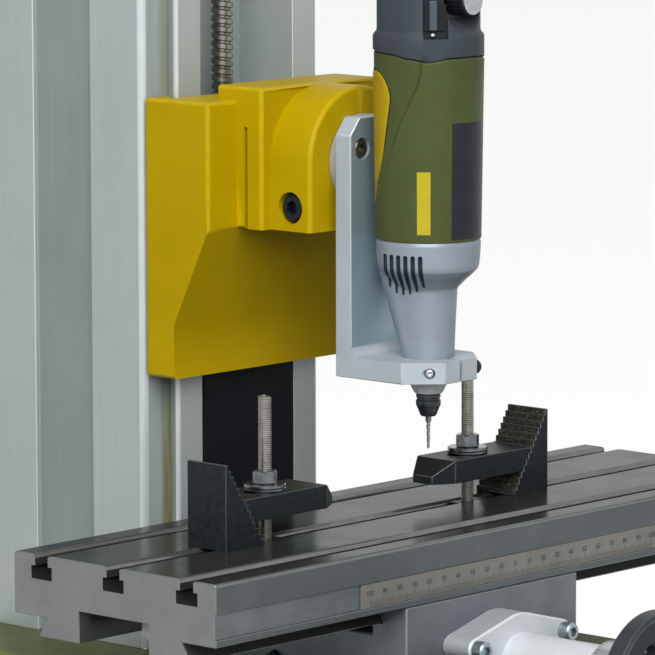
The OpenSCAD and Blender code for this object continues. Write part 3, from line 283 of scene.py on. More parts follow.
# The table's long sides are milled, not ground: duller and bluer, with faint marks along them
table_milled = finish("milled_table_side", "#565c5f", "#4e5457", 22, (0.36, 0.46), metallic=0.5,
                      streak=(60, 0.8, 0.8, 0.06))
# A fresher milled strip carries the ruler
table_strip = finish("milled_ruler_strip", "#6d7477", "#61686b", 14, (0.32, 0.42), metallic=0.6,
                     streak=(30, 0.6, 0.6, 0.1))
# Silver lacquer on the tool's moulded front: smooth, fine metallic flake
silver_lacquer = finish("silver_lacquer", "#8f99a3", "#87919b", 20, (0.34, 0.42), metallic=0.25,
                        grain=(0.4, 0.008))
# The turned nose under the shelf: pale and matt, made paler as painted light against the shade under the
# shelf
nose_painted_light = finish("turned_nose_painted_light", "#dfe2e5", "#d5d9dc", 8, (0.4, 0.5))
# Moulded polyamide with glass fibre: fine spark-eroded texture, satin
green_polyamide = finish("green_polyamide", "#48512c", "#434b28", 30, (0.4, 0.5), grain=(0.5, 0.02))
grey_polyamide = finish("grey_polyamide", "#3c4249", "#373d43", 30, (0.38, 0.48), grain=(0.5, 0.02))
yellow_polyamide = finish("yellow_polyamide", "#b09616", "#a88e13", 24, (0.4, 0.48), grain=(0.5, 0.012))
black_polyamide = finish("black_polyamide", "#15171a", "#1a1c20", 20, (0.38, 0.5), grain=(0.6, 0.02))
rail_polyamide = finish("pale_polyamide_rail", "#4d555e", "#474f58", 10, (0.34, 0.44))
# Painted shade in its creases, seams, grooves and vents: darker and dull
crease_shadow = finish("green_polyamide_crease", "#434b29", "#3d4525", 6, (0.5, 0.6))
seam_shadow = finish("green_polyamide_seam", "#1d2210", "#191d0d", 6, (0.6, 0.7))
vent_shadow = finish("vent_inside", "#353f48", "#2f3841", 6, (0.6, 0.7))
groove_shadow = finish("grey_polyamide_groove", "#23272d", "#1e2228", 8, (0.5, 0.6))
# Turned grip of phenolic resin: glossy black
phenolic = finish("phenolic_resin", "#131416", "#191b1d", 20, (0.16, 0.24), specular=0.4)
# Steel blackened in hot salts: near black with a fine cloudy speckle
black_oxide = finish("black_oxide_steel", "#1b1f23", "#262b2f", 3.2, (0.36, 0.5), metallic=0.45,
                     specks=(1.2, 0.22, "#3a4045"))
# Rubbed corners of the blackened steel, grey-brown from handling
black_edge = finish("black_oxide_steel_rubbed", "#4d4f4c", "#35393b", 3, (0.32, 0.42), metallic=0.6)
# Step treads worn by the straps: brown-grey with a coarse speckle
worn_black = finish("worn_black_treads", "#2c2b29", "#3a3834", 1.2, (0.42, 0.54), metallic=0.4,
                    specks=(0.8, 0.42, "#7c766c"))
# Bright drawn steel, turned: silver with fine marks
bright_steel = finish("bright_steel", "#b9bdc0", "#a4a8ab", 5, (0.2, 0.32), metallic=0.95)
# Zinc plate with a blue passivation: cool silver, slightly cloudy
zinc_plate = finish("zinc_plated_steel", "#9aa7ab", "#87959a", 4, (0.22, 0.34), metallic=0.85)
# Dull zinc on hexagon nuts and washers, dark from oil, and browner on the plate's old bolts
dark_zinc = finish("oily_zinc", "#74787c", "#575b5f", 3, (0.16, 0.28), metallic=0.9)
bracket_zinc = finish("old_zinc", "#6a6b5c", "#55574c", 3, (0.24, 0.36), metallic=0.8)
# Rolled threads of lead screws and studs, oiled: grey-brown steel
screw_steel = finish("oiled_screw_steel", "#96968f", "#7b7b74", 6, (0.24, 0.36), metallic=0.85)
stud_steel = finish("stud_steel", "#a19e97", "#827f78", 4, (0.26, 0.38), metallic=0.8)
# Ground steel of the cutter and the darker collet nut: cool grey, half bright
cutter_steel = finish("ground_cutter_steel", "#83848a", "#707278", 3, (0.26, 0.36), metallic=0.8)
nut_steel = finish("collet_nut_steel", "#42464b", "#34383d", 4, (0.28, 0.4), metallic=0.75)
# Ground gib strips and the swivel's machined stub: plain satin steel
gib_steel = finish("ground_gib_steel", "#9b958a", "#857f75", 10, (0.32, 0.42), metallic=0.7)
stub_steel = finish("machined_stub", "#b6babd", "#aab0b4", 10, (0.4, 0.5), metallic=0.4)
# Feed nuts of brass and windings of copper wire: warm metal, not polished
brass = finish("turned_brass", "#a98a45", "#927538", 8, (0.28, 0.38), metallic=0.95)
copper_winding = finish("lacquered_copper_winding", "#7a4a26", "#5d3a20", 4, (0.3, 0.42), metallic=0.7)
# Ruler strip: brushed natural aluminium with filled marks
ruler_aluminium = finish("brushed_ruler_strip", "#7d7c76", "#72716b", 18, (0.38, 0.48), metallic=0.5,
                         streak=(40, 0.4, 0.4, 0.05))
ink = finish("filled_marks", "#35353a", "#3d3d40", 4, (0.5, 0.6))
# Turned aluminium dial: satin rings
dial_aluminium = finish("turned_dial", "#b9bdbf", "#abb0b2", 12, (0.28, 0.38), metallic=0.8,
                        grain=(0.4, 0.006))
# Rubber of the swarf guard: black and matt
guard_rubber = finish("guard_rubber", "#0b0d12", "#101218", 30, (0.5, 0.64), grain=(0.8, 0.03), specular=0.1)
# The tool's bare plates: smooth film with a soft shine
label_yellow = finish("bare_yellow_plate", "#b9a92c", "#b09f26", 12, (0.3, 0.38))
label_dark = finish("bare_dark_plate", "#2a2c34", "#25272f", 12, (0.3, 0.38))


# Pieces

def place(piece):
    """Puts a new object into the scene."""
    scene.collection.objects.link(piece)
    return piece


def baked(piece):
    """Turns a piece's modifiers into plain mesh."""
    graph = bpy.context.evaluated_depsgraph_get()
    mesh = bpy.data.meshes.new_from_object(piece.evaluated_get(graph), preserve_all_data_layers=True,
                                           depsgraph=graph)
    piece.modifiers.clear()
    piece.data = mesh
    return piece


def dress(piece, body, nodes=()):
    """Ties a finished piece to its body and the CAD nodes that it stands for."""
    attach(piece, body)
    if nodes:
        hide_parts(*nodes)
    return piece


def face_room(face, edge):
    """How far a face reaches inward from the middle of one of its edges."""
    loop = next(near for near in edge.link_loops if near.face == face)
    start, end = loop.vert.co, loop.link_loop_next.vert.co
    middle = (start + end) / 2
    along = (end - start).normalized()
    inward = face.normal.cross(along)
    room = 1.0
    for other in face.edges:
        a, b = (v.co - middle for v in other.verts)
        left, right = a.dot(along), b.dot(along)
        if other != edge and left * right <= 0 and left != right:
            depth = a.lerp(b, left / (left - right)).dot(inward)
            if depth > 0.001 * MM:
                room = min(room, depth)
    return room


def hollow_wall(face, sharp):
    """Whether a face is one of the strips of a hole's or hollow's curved wall."""
    inner = (edge for edge in face.edges if len(edge.link_faces) == 2)
    return any(-sharp < edge.calc_face_angle_signed(0.0) < -0.01 for edge in inner)


def smooth_run(edge, corners):
    """The corner edges that follow on smoothly from one of them."""
    run, ahead = {edge}, [edge]
    while ahead:
        here = ahead.pop()
        start, end = here.verts
        for vert in here.verts:
            near = [e for e in vert.link_edges if e in corners and e != here]
            if len(near) == 1 and near[0] not in run:
                first, last = near[0].verts
                bend = (end.co - start.co).normalized().dot((last.co - first.co).normalized())
                if abs(bend) > 0.8:
                    run.add(near[0])
                    ahead.append(near[0])
    return run


def softened(node, width, material, edge_material=None, segments=3, share=None, others=(), holes=()):
    """A copy of a CAD node with its outer corners rounded by a width in mm, which stands for the node.

    share(middle, along) gives the part of the width that an edge takes, from 0 to 1. others are
    (material, test) pairs: the faces whose normal and centre pass a test take its material. holes are
    points in mm: flats are parted at level with each, so that none of them rings a hole.
    """
    shape = bmesh.new()
    shape.from_mesh(frame["nodes"][node].data)
    bmesh.ops.remove_doubles(shape, verts=shape.verts, dist=0.004 * MM)
    for hole in holes:
        for axis in (X_AXIS, Y_AXIS, Z_AXIS):
            everything = list(shape.verts) + list(shape.edges) + list(shape.faces)
            parted = bmesh.ops.bisect_plane(shape, geom=everything, dist=0.4 * MM, plane_co=hole * MM,
                                            plane_no=axis)
            for edge in parted["geom_cut"]:
                if isinstance(edge, bmesh.types.BMEdge):
                    edge.seam = True
    bmesh.ops.dissolve_limit(shape, angle_limit=math.radians(0.6), verts=shape.verts, edges=shape.edges,
                             delimit={"SEAM"})
    weight = shape.edges.layers.float.new("bevel_weight_edge")
    sharp = math.radians(28)
    hollow = {face for face in shape.faces if hollow_wall(face, sharp)}
    corners = {}
    for edge in shape.edges:
        outer = len(edge.link_faces) == 2 and edge.calc_face_angle_signed(0.0) > sharp
        if outer and not hollow.intersection(edge.link_faces):
            start, end = (v.co / MM for v in edge.verts)
            part = share((start + end) / 2, (end - start).normalized()) if share else 1.0
            room = min(face_room(face, edge) for face in edge.link_faces)
            if part > 0:
                corners[edge] = min(part, 0.38 * room / (width * MM))
    left = set(corners)
    while left:
        run = smooth_run(left.pop(), corners)
        left -= run
        least = min(corners[edge] for edge in run)
        for edge in run:
            edge[weight] = least
    for face in shape.faces:
        face.smooth = True
        face.material_index = 0
        for index, (_, test) in enumerate(others):
            if test(face.normal, face.calc_center_median() / MM):
                face.material_index = 2 + index
    mesh = bpy.data.meshes.new(node + "_softened")
    shape.to_mesh(mesh)
    shape.free()
    for name in [a.name for a in mesh.attributes if a.name == "custom_normal"]:
        mesh.attributes.remove(mesh.attributes[name])
    mesh.set_sharp_from_angle(angle=sharp)
    for finish_used in [material, edge_material or material] + [other for other, _ in others]:
        mesh.materials.append(finish_used)
    piece = place(bpy.data.objects.new(node + "_softened", mesh))
    bevel = piece.modifiers.new("corners", "BEVEL")
    bevel.limit_method = "WEIGHT"
    bevel.width = width * MM
    bevel.segments = segments
    bevel.use_clamp_overlap = False
    bevel.material = 1
    piece.modifiers.new("flats", "TRIANGULATE").min_vertices = 5
    flat = piece.modifiers.new("flat_normals", "WEIGHTED_NORMAL")
    flat.keep_sharp = True
    flat.weight = 100
    baked(piece)
    return dress(piece, frame["nodes"][node]["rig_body"], [node])


def loft(rings, closed=False):
    """Points and faces over rings of points in mm; ends are capped unless the last ring joins the first."""
    count = len(rings[0])
    points = [p for ring in rings for p in ring]
    pairs = list(zip(range(len(rings)), range(1, len(rings))))
    if closed:
        pairs.append((len(rings) - 1, 0))
    faces = [(a * count + k, a * count + (k + 1) % count, b * count + (k + 1) % count, b * count + k)
             for a, b in pairs for k in range(count)]
    if not closed:
        faces += [tuple(range(count)), tuple(range(len(points) - count, len(points)))]
    return points, faces


def turned(profile, centre=(0, 0, 0), axis=Z_AXIS, count=64, closed=True):
    """A turned shape: (radius, height) pairs in mm swept round an axis through a centre."""
    turn = Z_AXIS.rotation_difference(axis).to_matrix()
    rings = [[Vector(centre) + turn @ Vector((r * math.cos(a), r * math.sin(a), h))
              for a in (2 * math.pi * k / count for k in range(count))] for r, h in profile]
    return loft(rings, closed)


def shaped(name, shapes, material, smooth=35.0):
    """One object of several (points, faces) shapes in mm, with its normals outwards."""
    mesh = bpy.data.meshes.new(name)
    points, faces = [], []
    for shape_points, shape_faces in shapes:
        faces += [tuple(i + len(points) for i in face) for face in shape_faces]
        points += shape_points
    mesh.from_pydata([Vector(p) * MM for p in points], [], faces)
    shape = bmesh.new()
    shape.from_mesh(mesh)
    bmesh.ops.remove_doubles(shape, verts=shape.verts, dist=0.0005 * MM)
    bmesh.ops.recalc_face_normals(shape, faces=shape.faces)
    for face in shape.faces:
        face.smooth = True
    shape.to_mesh(mesh)
    shape.free()
    mesh.set_sharp_from_angle(angle=math.radians(smooth))
    mesh.materials.append(material)
    return place(bpy.data.objects.new(name, mesh))


def cut(piece, shapes, lining, smooth=35.0):
    """Takes (points, faces) shapes in mm out of a piece; the new faces take the lining's material."""
    cutter = shaped(piece.name + "_cutter", shapes, lining)
    modifier = piece.modifiers.new("cut", "BOOLEAN")
    modifier.operation = "DIFFERENCE"
    modifier.solver = "EXACT"
    modifier.material_mode = "TRANSFER"
    modifier.object = cutter
    baked(piece)
    bpy.data.objects.remove(cutter)
    piece.data.set_sharp_from_angle(angle=math.radians(smooth))
    return piece


def rounded(piece, width, segments=2, angle=35.0):
    """Rounds a made piece's corners by a width in mm."""
    bevel = piece.modifiers.new("corners", "BEVEL")
    bevel.limit_method = "ANGLE"
    bevel.angle_limit = math.radians(angle)
    bevel.width = width * MM
    bevel.segments = segments
    bevel.harden_normals = True
    return baked(piece)


# Geometry Nodes trees for what repeats

def new_tree(name, lengths, counts=()):
    """A Geometry Nodes tree with named inputs, and its inputs."""
    tree = bpy.data.node_groups.new(name, "GeometryNodeTree")
    kinds = {"Geometry": "Geometry", **dict.fromkeys(lengths, "Float"), **dict.fromkeys(counts, "Int"),
             "Material": "Material"}
    for label, kind in kinds.items():
        tree.interface.new_socket(label, in_out="INPUT", socket_type="NodeSocket" + kind)
    tree.interface.new_socket("Geometry", in_out="OUTPUT", socket_type="NodeSocketGeometry")
    return tree, add(tree, "NodeGroupInput").outputs


def end_tree(tree, shape, size):
    """Ends a tree in a plain mesh of its material."""
    real = add(tree, "GeometryNodeRealizeInstances", {0: shape})
    coated = add(tree, "GeometryNodeSetMaterial", {0: real, "Material": size["Material"]})
    add(tree, "NodeGroupOutput", {0: coated})
    return tree


def grown(name, tree, values, points=((0, 0, 0),), turn=None, smooth=35.0):
    """A plain mesh grown by a tree from seed points in mm, then turned and put in its place."""
    mesh = bpy.data.meshes.new(name)
    mesh.from_pydata([Vector(p) * MM for p in points], [], [])
    piece = place(bpy.data.objects.new(name, mesh))
    modifier = piece.modifiers.new("grown", "NODES")
    modifier.node_group = tree
    for item in tree.interface.items_tree:
        if item.in_out == "INPUT" and item.name in values:
            modifier[item.identifier] = values[item.name]
    baked(piece)
    if turn:
        piece.data.transform(turn)
    for face in piece.data.polygons:
        face.use_smooth = True
    piece.data.set_sharp_from_angle(angle=math.radians(smooth))
    return piece


def thread_tree():
    """A rod with a trapezoid thread: a profile swept along a spiral over a core."""
    tree, size = new_tree("screw_thread", ("Radius", "Pitch", "Depth", "Turns"))
    length, root, crest, tall = (
        add(tree, "ShaderNodeMath", {0: size[name], 1: times}, operation="MULTIPLY")
        for name, times in (("Pitch", size["Turns"]), ("Pitch", 0.8), ("Pitch", 0.48), ("Depth", 1.04)))
    core_r, mid_r = (
        add(tree, "ShaderNodeMath", {0: size["Depth"], 1: share, 2: size["Radius"]},
            operation="MULTIPLY_ADD")
        for share in (-1.0, -0.5))
    spiral = add(tree, "GeometryNodeCurveSpiral",
                 {"Resolution": 28, "Rotations": size["Turns"], "Start Radius": mid_r, "End Radius": mid_r,
                  "Height": length})
    level_spiral = add(tree, "GeometryNodeSetCurveNormal", {0: spiral}, mode="Z_UP")
    profile = add(tree, "GeometryNodeCurvePrimitiveQuadrilateral",
                  {"Bottom Width": root, "Top Width": crest, "Height": tall, "Offset": 0.0},
                  mode="TRAPEZOID")
    turned_profile = add(tree, "GeometryNodeTransform",
                         {"Geometry": profile, "Rotation": (0, 0, math.radians(90))})
    ridge = add(tree, "GeometryNodeCurveToMesh",
                {"Curve": level_spiral, "Profile Curve": turned_profile, "Fill Caps": True})
    half = add(tree, "ShaderNodeMath", {0: length, 1: 0.5}, operation="MULTIPLY")
    middle = add(tree, "ShaderNodeCombineXYZ", {"Z": half})
    rod = add(tree, "GeometryNodeMeshCylinder", {"Vertices": 32, "Radius": core_r, "Depth": length})
    core = add(tree, "GeometryNodeTransform", {"Geometry": rod, "Translation": middle})
    both = add(tree, "GeometryNodeJoinGeometry", {0: core})
    feed(tree, both.inputs[0], ridge)
    return end_tree(tree, both, size)


def cap_screw_tree():
    """Socket heads with a chamfered rim on every seed point, pointing up."""
    tree, size = new_tree("cap_screws", ("Head Radius", "Head Height", "Socket Radius"))
    side_h, rim_h, rim_r = (
        add(tree, "ShaderNodeMath", {0: size[name], 1: share}, operation="MULTIPLY")
        for name, share in (("Head Height", 0.86), ("Head Height", 0.14), ("Head Radius", 0.86)))
    half = add(tree, "ShaderNodeMath", {0: side_h, 1: 0.5}, operation="MULTIPLY")
    side = add(tree, "GeometryNodeMeshCylinder",
               {"Vertices": 40, "Radius": size["Head Radius"], "Depth": side_h})
    rim = add(tree, "GeometryNodeMeshCone",
              {"Vertices": 40, "Radius Bottom": size["Head Radius"], "Radius Top": rim_r, "Depth": rim_h})
    socket = add(tree, "GeometryNodeMeshCylinder",
                 {"Vertices": 6, "Radius": size["Socket Radius"], "Depth": size["Head Height"]})
    lifted = []
    for shape, height in ((rim, side_h), (side, half), (socket, size["Head Height"])):
        lift = add(tree, "ShaderNodeCombineXYZ", {"Z": height})
        lifted.append(add(tree, "GeometryNodeTransform", {"Geometry": shape, "Translation": lift}))
    head = add(tree, "GeometryNodeMeshBoolean", operation="UNION")
    for shape in lifted[:2]:
        feed(tree, head.inputs["Mesh 2"], shape)
    drilled = add(tree, "GeometryNodeMeshBoolean", {"Mesh 1": head, "Mesh 2": lifted[2]},
                  operation="DIFFERENCE")
    heads = add(tree, "GeometryNodeInstanceOnPoints", {"Points": size["Geometry"], "Instance": drilled})
    return end_tree(tree, heads, size)


def bar_row_tree():
    """A row of bars along X, standing up in Y from 0; every fifth and tenth one may be longer."""
    tree, size = new_tree("bar_row", ("Step", "Width", "Height", "Short", "Middle", "Long"), ("Count",))
    offset = add(tree, "ShaderNodeCombineXYZ", {"X": size["Step"]})
    row = add(tree, "GeometryNodeMeshLine", {"Count": size["Count"], "Offset": offset})
    number = add(tree, "GeometryNodeInputIndex")
    lengths = size["Short"]
    for every, long in ((5.0, size["Middle"]), (10.0, size["Long"])):
        rest = add(tree, "ShaderNodeMath", {0: number, 1: every}, operation="FLOORED_MODULO")
        hit = add(tree, "ShaderNodeMath", {0: rest, 1: 0.5}, operation="LESS_THAN")
        lengths = add(tree, "ShaderNodeMix", {0: hit, 2: lengths, 3: long})
    bar_size = add(tree, "ShaderNodeCombineXYZ", {"X": size["Width"], "Y": 1.0, "Z": size["Height"]})
    bar = add(tree, "GeometryNodeMeshCube", {"Size": bar_size})
    stood = add(tree, "GeometryNodeTransform", {"Geometry": bar, "Translation": (0, 0.5, 0)})
    scale = add(tree, "ShaderNodeCombineXYZ", {"X": 1.0, "Y": lengths, "Z": 1.0})
    row_of_bars = add(tree, "GeometryNodeInstanceOnPoints",
                      {"Points": row, "Instance": stood, "Scale": scale})
    return end_tree(tree, row_of_bars, size)


THREAD, CAP_SCREWS, BAR_ROW = thread_tree(), cap_screw_tree(), bar_row_tree()


def aimed(axis, origin=(0, 0, 0)):
    """The matrix that turns +Z to an axis and moves to an origin in mm."""
    turn = Z_AXIS.rotation_difference(Vector(axis)).to_matrix().to_4x4()
    return Matrix.Translation(Vector(origin) * MM) @ turn


def threaded(name, start, axis, length, radius, pitch, depth, material):
    """A threaded rod of a length in mm from a start point along an axis."""
    values = {"Radius": radius * MM, "Pitch": pitch * MM, "Depth": depth * MM, "Turns": length / pitch,
              "Material": material}
    return grown(name, THREAD, values, turn=aimed(axis, start))


def seats_in(node, axis, rows, head):
    """Seats of screw heads in a node's box: at both ends along the axes in rows, and else in its middle."""
    low, high = box_mm(node)
    radius, height, _ = head
    spots = []
    for k, letter in enumerate("xyz"):
        if axis[k]:
            spots.append([high[k] - height if axis[k] > 0 else low[k] + height])
        elif letter in rows:
            spots.append([low[k] + radius, high[k] - radius])
        else:
            spots.append([(low[k] + high[k]) / 2])
    return [(x, y, z) for x in spots[0] for y in spots[1] for z in spots[2]]


def screw_heads(node, seats, axis, head, material):
    """Cap screw heads seated at points in mm, facing along an axis; they stand for a node.

    head is the head's radius, its height and the radius of its socket, in mm.
    """
    turn = aimed(axis)
    local = [turn.inverted() @ Vector(seat) for seat in seats]
    values = {name: size * MM for name, size in zip(("Head Radius", "Head Height", "Socket Radius"), head)}
    piece = grown(node + "_heads", CAP_SCREWS, {**values, "Material": material}, points=local, turn=turn)
    return dress(piece, frame["nodes"][node]["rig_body"], [node])


def bars(name, count, step, width, height, lengths, material):
    """A flat row of bars along X in mm; lengths are those of plain, fifth and tenth bars."""
    values = {"Count": count, "Step": step * MM, "Width": width * MM, "Height": height * MM,
              "Material": material}
    values.update({kind: length * MM for kind, length in zip(("Short", "Middle", "Long"), lengths)})
    return grown(name, BAR_ROW, values)


def wrapped(piece, radius, turn):
    """Wraps a flat row round a cylinder of a radius in mm about +Z, then turns it into place."""
    for vertex in piece.data.vertices:
        x, y, z = vertex.co
        reach = radius * MM + z
        angle = x / (radius * MM)
        vertex.co = (reach * math.cos(angle), reach * math.sin(angle), y)
    piece.data.transform(turn)
    piece.data.update()
    return piece


def joined(name, pieces):
    """Several objects as one, under a name."""
    for other in pieces[1:]:
        shift = len(pieces[0].data.materials)
        for face in other.data.polygons:
            face.material_index += shift
        for material in other.data.materials:
            pieces[0].data.materials.append(material)
    shape = bmesh.new()
    for piece in pieces:
        shape.from_mesh(piece.data)
    mesh = bpy.data.meshes.new(name)
    shape.to_mesh(mesh)
    shape.free()
    for material in pieces[0].data.materials:
        mesh.materials.append(material)
    for piece in pieces:
        bpy.data.objects.remove(piece)
    return place(bpy.data.objects.new(name, mesh))


def lettered(name, words, height, material):
    """Flat numbers as one mesh: words is a list of (text, matrix that puts it in its place)."""
    made = []
    for text, where in words:
        curve = bpy.data.curves.new(name, "FONT")
        curve.body = text
        curve.size = height * MM
        curve.align_x = "CENTER"
        curve.extrude = 0.04 * MM
        holder = place(bpy.data.objects.new(name + "_text", curve))
        mesh = bpy.data.meshes.new_from_object(holder.evaluated_get(bpy.context.evaluated_depsgraph_get()))
        bpy.data.objects.remove(holder)
        mesh.transform(where)
        mesh.materials.clear()
        mesh.materials.append(material)
        made.append(place(bpy.data.objects.new(name + "_part", mesh)))
    return joined(name, made)


# Castings, table and column: their CAD shapes with rounded corners

# The cosine from which a direction counts as that of an axis
FACING = 0.9
TABLE_TOP, TABLE_MID_Y, TABLE_HALF, SLOTS_DEEP = box_mm("table")[1].z, -55.0, 55.0, 16.0
COLUMN_FRONT, COLUMN_CORNER, RAIL_CORNER, CHANNEL_X = 48.0, 58.0, 44.0, 57.0
RAIL_FRONT = box_mm("column")[0].y
RULER_MID, STRIP_HALF, STRIP_Y = middle_of("table_ruler").z, 5.0, -100.0
ARCH_CUT_LOW, ARCH_CUT_HIGH, ARCH_SLIT_HALF, ARCH_SLIT_BACK = -1.6, 1.5, 1.6, -0.5
SHELF_SLIT_HALF, SHELF_SLIT_BACK = 1.4, -77.0
FLANGE_BOSS_Y, PLATE_FOOT_Z = -134.0, 215.0


def column_share(middle, along):
    """Wide chamfers on the column's front corners and on the rails, fine ones elsewhere."""
    upright = abs(along.z) > FACING
    if upright and abs(middle.x) > COLUMN_CORNER and middle.y < COLUMN_FRONT + 2:
        return 1.0
    if upright and abs(middle.x) > RAIL_CORNER and middle.y < RAIL_FRONT + 2:
        return 0.85
    return 0.14


def table_share(middle, along):
    """Broken edges at the slot mouths; the slots' inner corners stay crisp."""
    if middle.z > TABLE_TOP - 0.5:
        return 1.0 if abs(along.x) > FACING else 0.35
    in_slots = middle.z > TABLE_TOP - SLOTS_DEEP and abs(middle.y - TABLE_MID_Y) < TABLE_HALF + 5
    return 0.02 if in_slots else 0.25


def on_long_side(normal, centre):
    """The table's front and rear faces."""
    return abs(normal.y) > FACING and abs(centre.y - TABLE_MID_Y) > TABLE_HALF


def on_ruler_strip(normal, centre):
    """The sunk strip on the table's front that carries the ruler."""
    return normal.y < -FACING and abs(centre.z - RULER_MID) < STRIP_HALF and centre.y < STRIP_Y


def on_treads(normal, centre):
    """The steps of the clamp blocks, which face the work."""
    inner = -1 if centre.x > 0 else 1
    return normal.z > FACING or normal.x * inner > FACING


def carriage_share(middle, along):
    """The saw cut and the clamp slit keep sharp lips."""
    in_cut = ARCH_CUT_LOW < middle.y < ARCH_CUT_HIGH
    in_slit = abs(middle.x) < ARCH_SLIT_HALF and middle.y < ARCH_SLIT_BACK
    return 0.0 if in_cut or in_slit else 1.0


def bracket_share(middle, along):
    """The clamp slit of the shelf keeps sharp lips."""
    return 0.0 if abs(middle.x) < SHELF_SLIT_HALF and middle.y < SHELF_SLIT_BACK else 1.0


softened("base_casting", 2.0, olive_enamel, olive_wear_and_sheen)
# The side channel's faces take the darker copy: painted shade
softened("column", 3.0, column_aluminium, column_edge, 2, column_share,
         [(channel_painted_shade,
           lambda normal, centre: abs(normal.x) > FACING and abs(abs(centre.x) - CHANNEL_X) < 2)])
softened("column_top_plate", 1.2, grey_enamel, grey_wear_and_sheen, holes=[middle_of("z_dial")])
softened("saddle", 0.8, saddle_casting, saddle_corner_sheen)
# The flange's sides take the darker copy: painted shade
softened("y_bearing_flange", 1.3, cast_aluminium, cast_corner_sheen,
         others=[(cast_shaded_side, lambda normal, centre: abs(normal.y) < 0.5 and centre.y > FLANGE_BOSS_Y)],
         holes=[middle_of("y_dial"), middle_of("y_flange_bolts")])
softened("x_bearing_flange", 1.3, cast_aluminium, cast_corner_sheen,
         holes=[middle_of("x_dial"), middle_of("x_flange_bolts")])
softened("table", 2.0, table_steel, table_corner_sheen, 3, table_share,
         [(table_milled, on_long_side), (table_strip, on_ruler_strip),
          (table_end, lambda normal, centre: abs(normal.x) > FACING)])
# The carriage's rounded corners take the paler enamel: rubbed wear and a painted highlight
softened("carriage", 1.7, yellow_enamel, yellow_wear_and_sheen, 3, carriage_share,
         holes=[middle_of("swivel_stub")])
# The plate's front takes a darker bluer copy: painted shade and a painted reflection
softened("tool_bracket", 0.6, blasted_aluminium, blasted_corner_sheen, 3, bracket_share,
         [(blasted_shaded_front, lambda normal, centre: normal.y < -FACING and centre.z > PLATE_FOOT_Z)])
softened("swarf_guard", 0.3, guard_rubber)
softened("clamp_step_blocks", 0.35, black_oxide, black_edge, others=[(worn_black, on_treads)])
for node, width in (("clamp_straps", 0.45), ("gib_screws", 0.3), ("z_gib_screws", 0.3)):
    softened(node, width, black_oxide, black_edge)
for wheel in ("x", "y", "z"):
    hub, grip = middle_of(wheel + "_dial"), middle_of(wheel + "_grip")
    softened(wheel + "_handwheel", 0.8, grey_enamel, grey_wear_and_sheen, holes=[hub, grip])
    softened(wheel + "_dial", 0.3, dial_aluminium, holes=[hub])

# Hidden working pieces keep their CAD shape and take a finish
for hidden, material in {
        "x_gib": gib_steel, "y_gib": gib_steel, "z_gib": gib_steel, "x_nut": brass, "y_nut": brass,
        "z_nut": brass, "x_bearing": bright_steel, "y_bearing": bright_steel, "z_bearing": bright_steel,
        "tool_bearings": bright_steel, "swivel_stub": stub_steel, "spindle": bright_steel,
        "collet": bright_steel, "clamp_t_nuts": black_oxide, "stator": copper_winding,
        "armature": copper_winding}.items():
    mesh = frame["nodes"][hidden].data
    mesh.materials.clear()
    mesh.materials.append(material)

# Threaded screws and studs

SCREWS = {"z": ("lift_screw_thread", Z_AXIS, 4.0, 1.3), "x": ("table_screw_thread", X_AXIS, 2.0, 0.9),
          "y": ("saddle_screw_thread", Y_AXIS, 2.0, 0.9)}
for wheel, (name, axis, pitch, depth) in SCREWS.items():
    node = wheel + "_screw"
    low, high = box_mm(node)
    size = high - low
    radius = (size.x if axis == Z_AXIS else size.z) / 2
    screw = threaded(name, foot_of(node, axis), axis, size.dot(axis), radius, pitch, depth, screw_steel)
    dress(screw, wheel + "_wheel", [node])

stud_low, stud_high = box_mm("clamp_studs")
STUD_R = 3.0
STUD_X = (stud_low.x + STUD_R, stud_high.x - STUD_R)
STUD_Y = (stud_low.y + stud_high.y) / 2
STUD_TOP = (stud_high.z, stud_high.z - 3.0)
studs = [threaded("stud", (x, STUD_Y, stud_low.z), Z_AXIS, top - stud_low.z, STUD_R, 1.0, 0.55, stud_steel)
         for x, top in zip(STUD_X, STUD_TOP)]
dress(joined("clamp_stud_threads", studs), "table", ["clamp_studs"])


def hex_nut(centre, across, height, bore, count=72):
    """A hexagon nut with the arcs that its chamfers leave on the flats."""
    flat_r = across / 2
    face_r = 0.95 * flat_r
    rings = [[] for _ in range(6)]
    for k in range(count):
        degrees = 360 * k / count
        side_r = flat_r / math.cos(math.radians((degrees + 30) % 60 - 30))
        drop = max(0.0, side_r - face_r) * 0.6
        outline = [(bore, 0), (face_r, 0), (side_r, drop), (side_r, height - drop), (face_r, height),
                   (bore, height)]
        for ring, (r, z) in zip(rings, outline):
            ring.append(Vector(centre) + Vector((*polar(r, degrees), z)))
    return loft(rings, closed=True)


nut_low, nut_high = box_mm("clamp_nuts")
washer_low, washer_high = box_mm("clamp_washers")
NUT_ACROSS = 10.0
nut_shapes = [hex_nut((x, STUD_Y, nut_low.z), NUT_ACROSS, nut_high.z - nut_low.z, STUD_R + 0.1)
              for x in STUD_X]
nuts = shaped("clamp_hex_nuts", nut_shapes, dark_zinc, smooth=25)
dress(nuts, "table", ["clamp_nuts"])
WASHER_R = (washer_high.y - washer_low.y) / 2
washer_t = washer_high.z - washer_low.z
washer_profile = [(STUD_R + 0.3, 0), (WASHER_R - 0.4, 0), (WASHER_R, 0.35), (WASHER_R, washer_t / 2 - 0.3),
                  (WASHER_R - 0.5, washer_t / 2), (WASHER_R, washer_t / 2 + 0.3),
                  (WASHER_R, washer_t - 0.35), (WASHER_R - 0.4, washer_t), (STUD_R + 0.3, washer_t)]
washers = shaped("clamp_washer_pairs", [turned(washer_profile, (x, STUD_Y, washer_low.z)) for x in STUD_X],
                 dark_zinc, smooth=30)
dress(washers, "table", ["clamp_washers"])

# Cap screws: radius and height of each kind of head, and radius of its socket

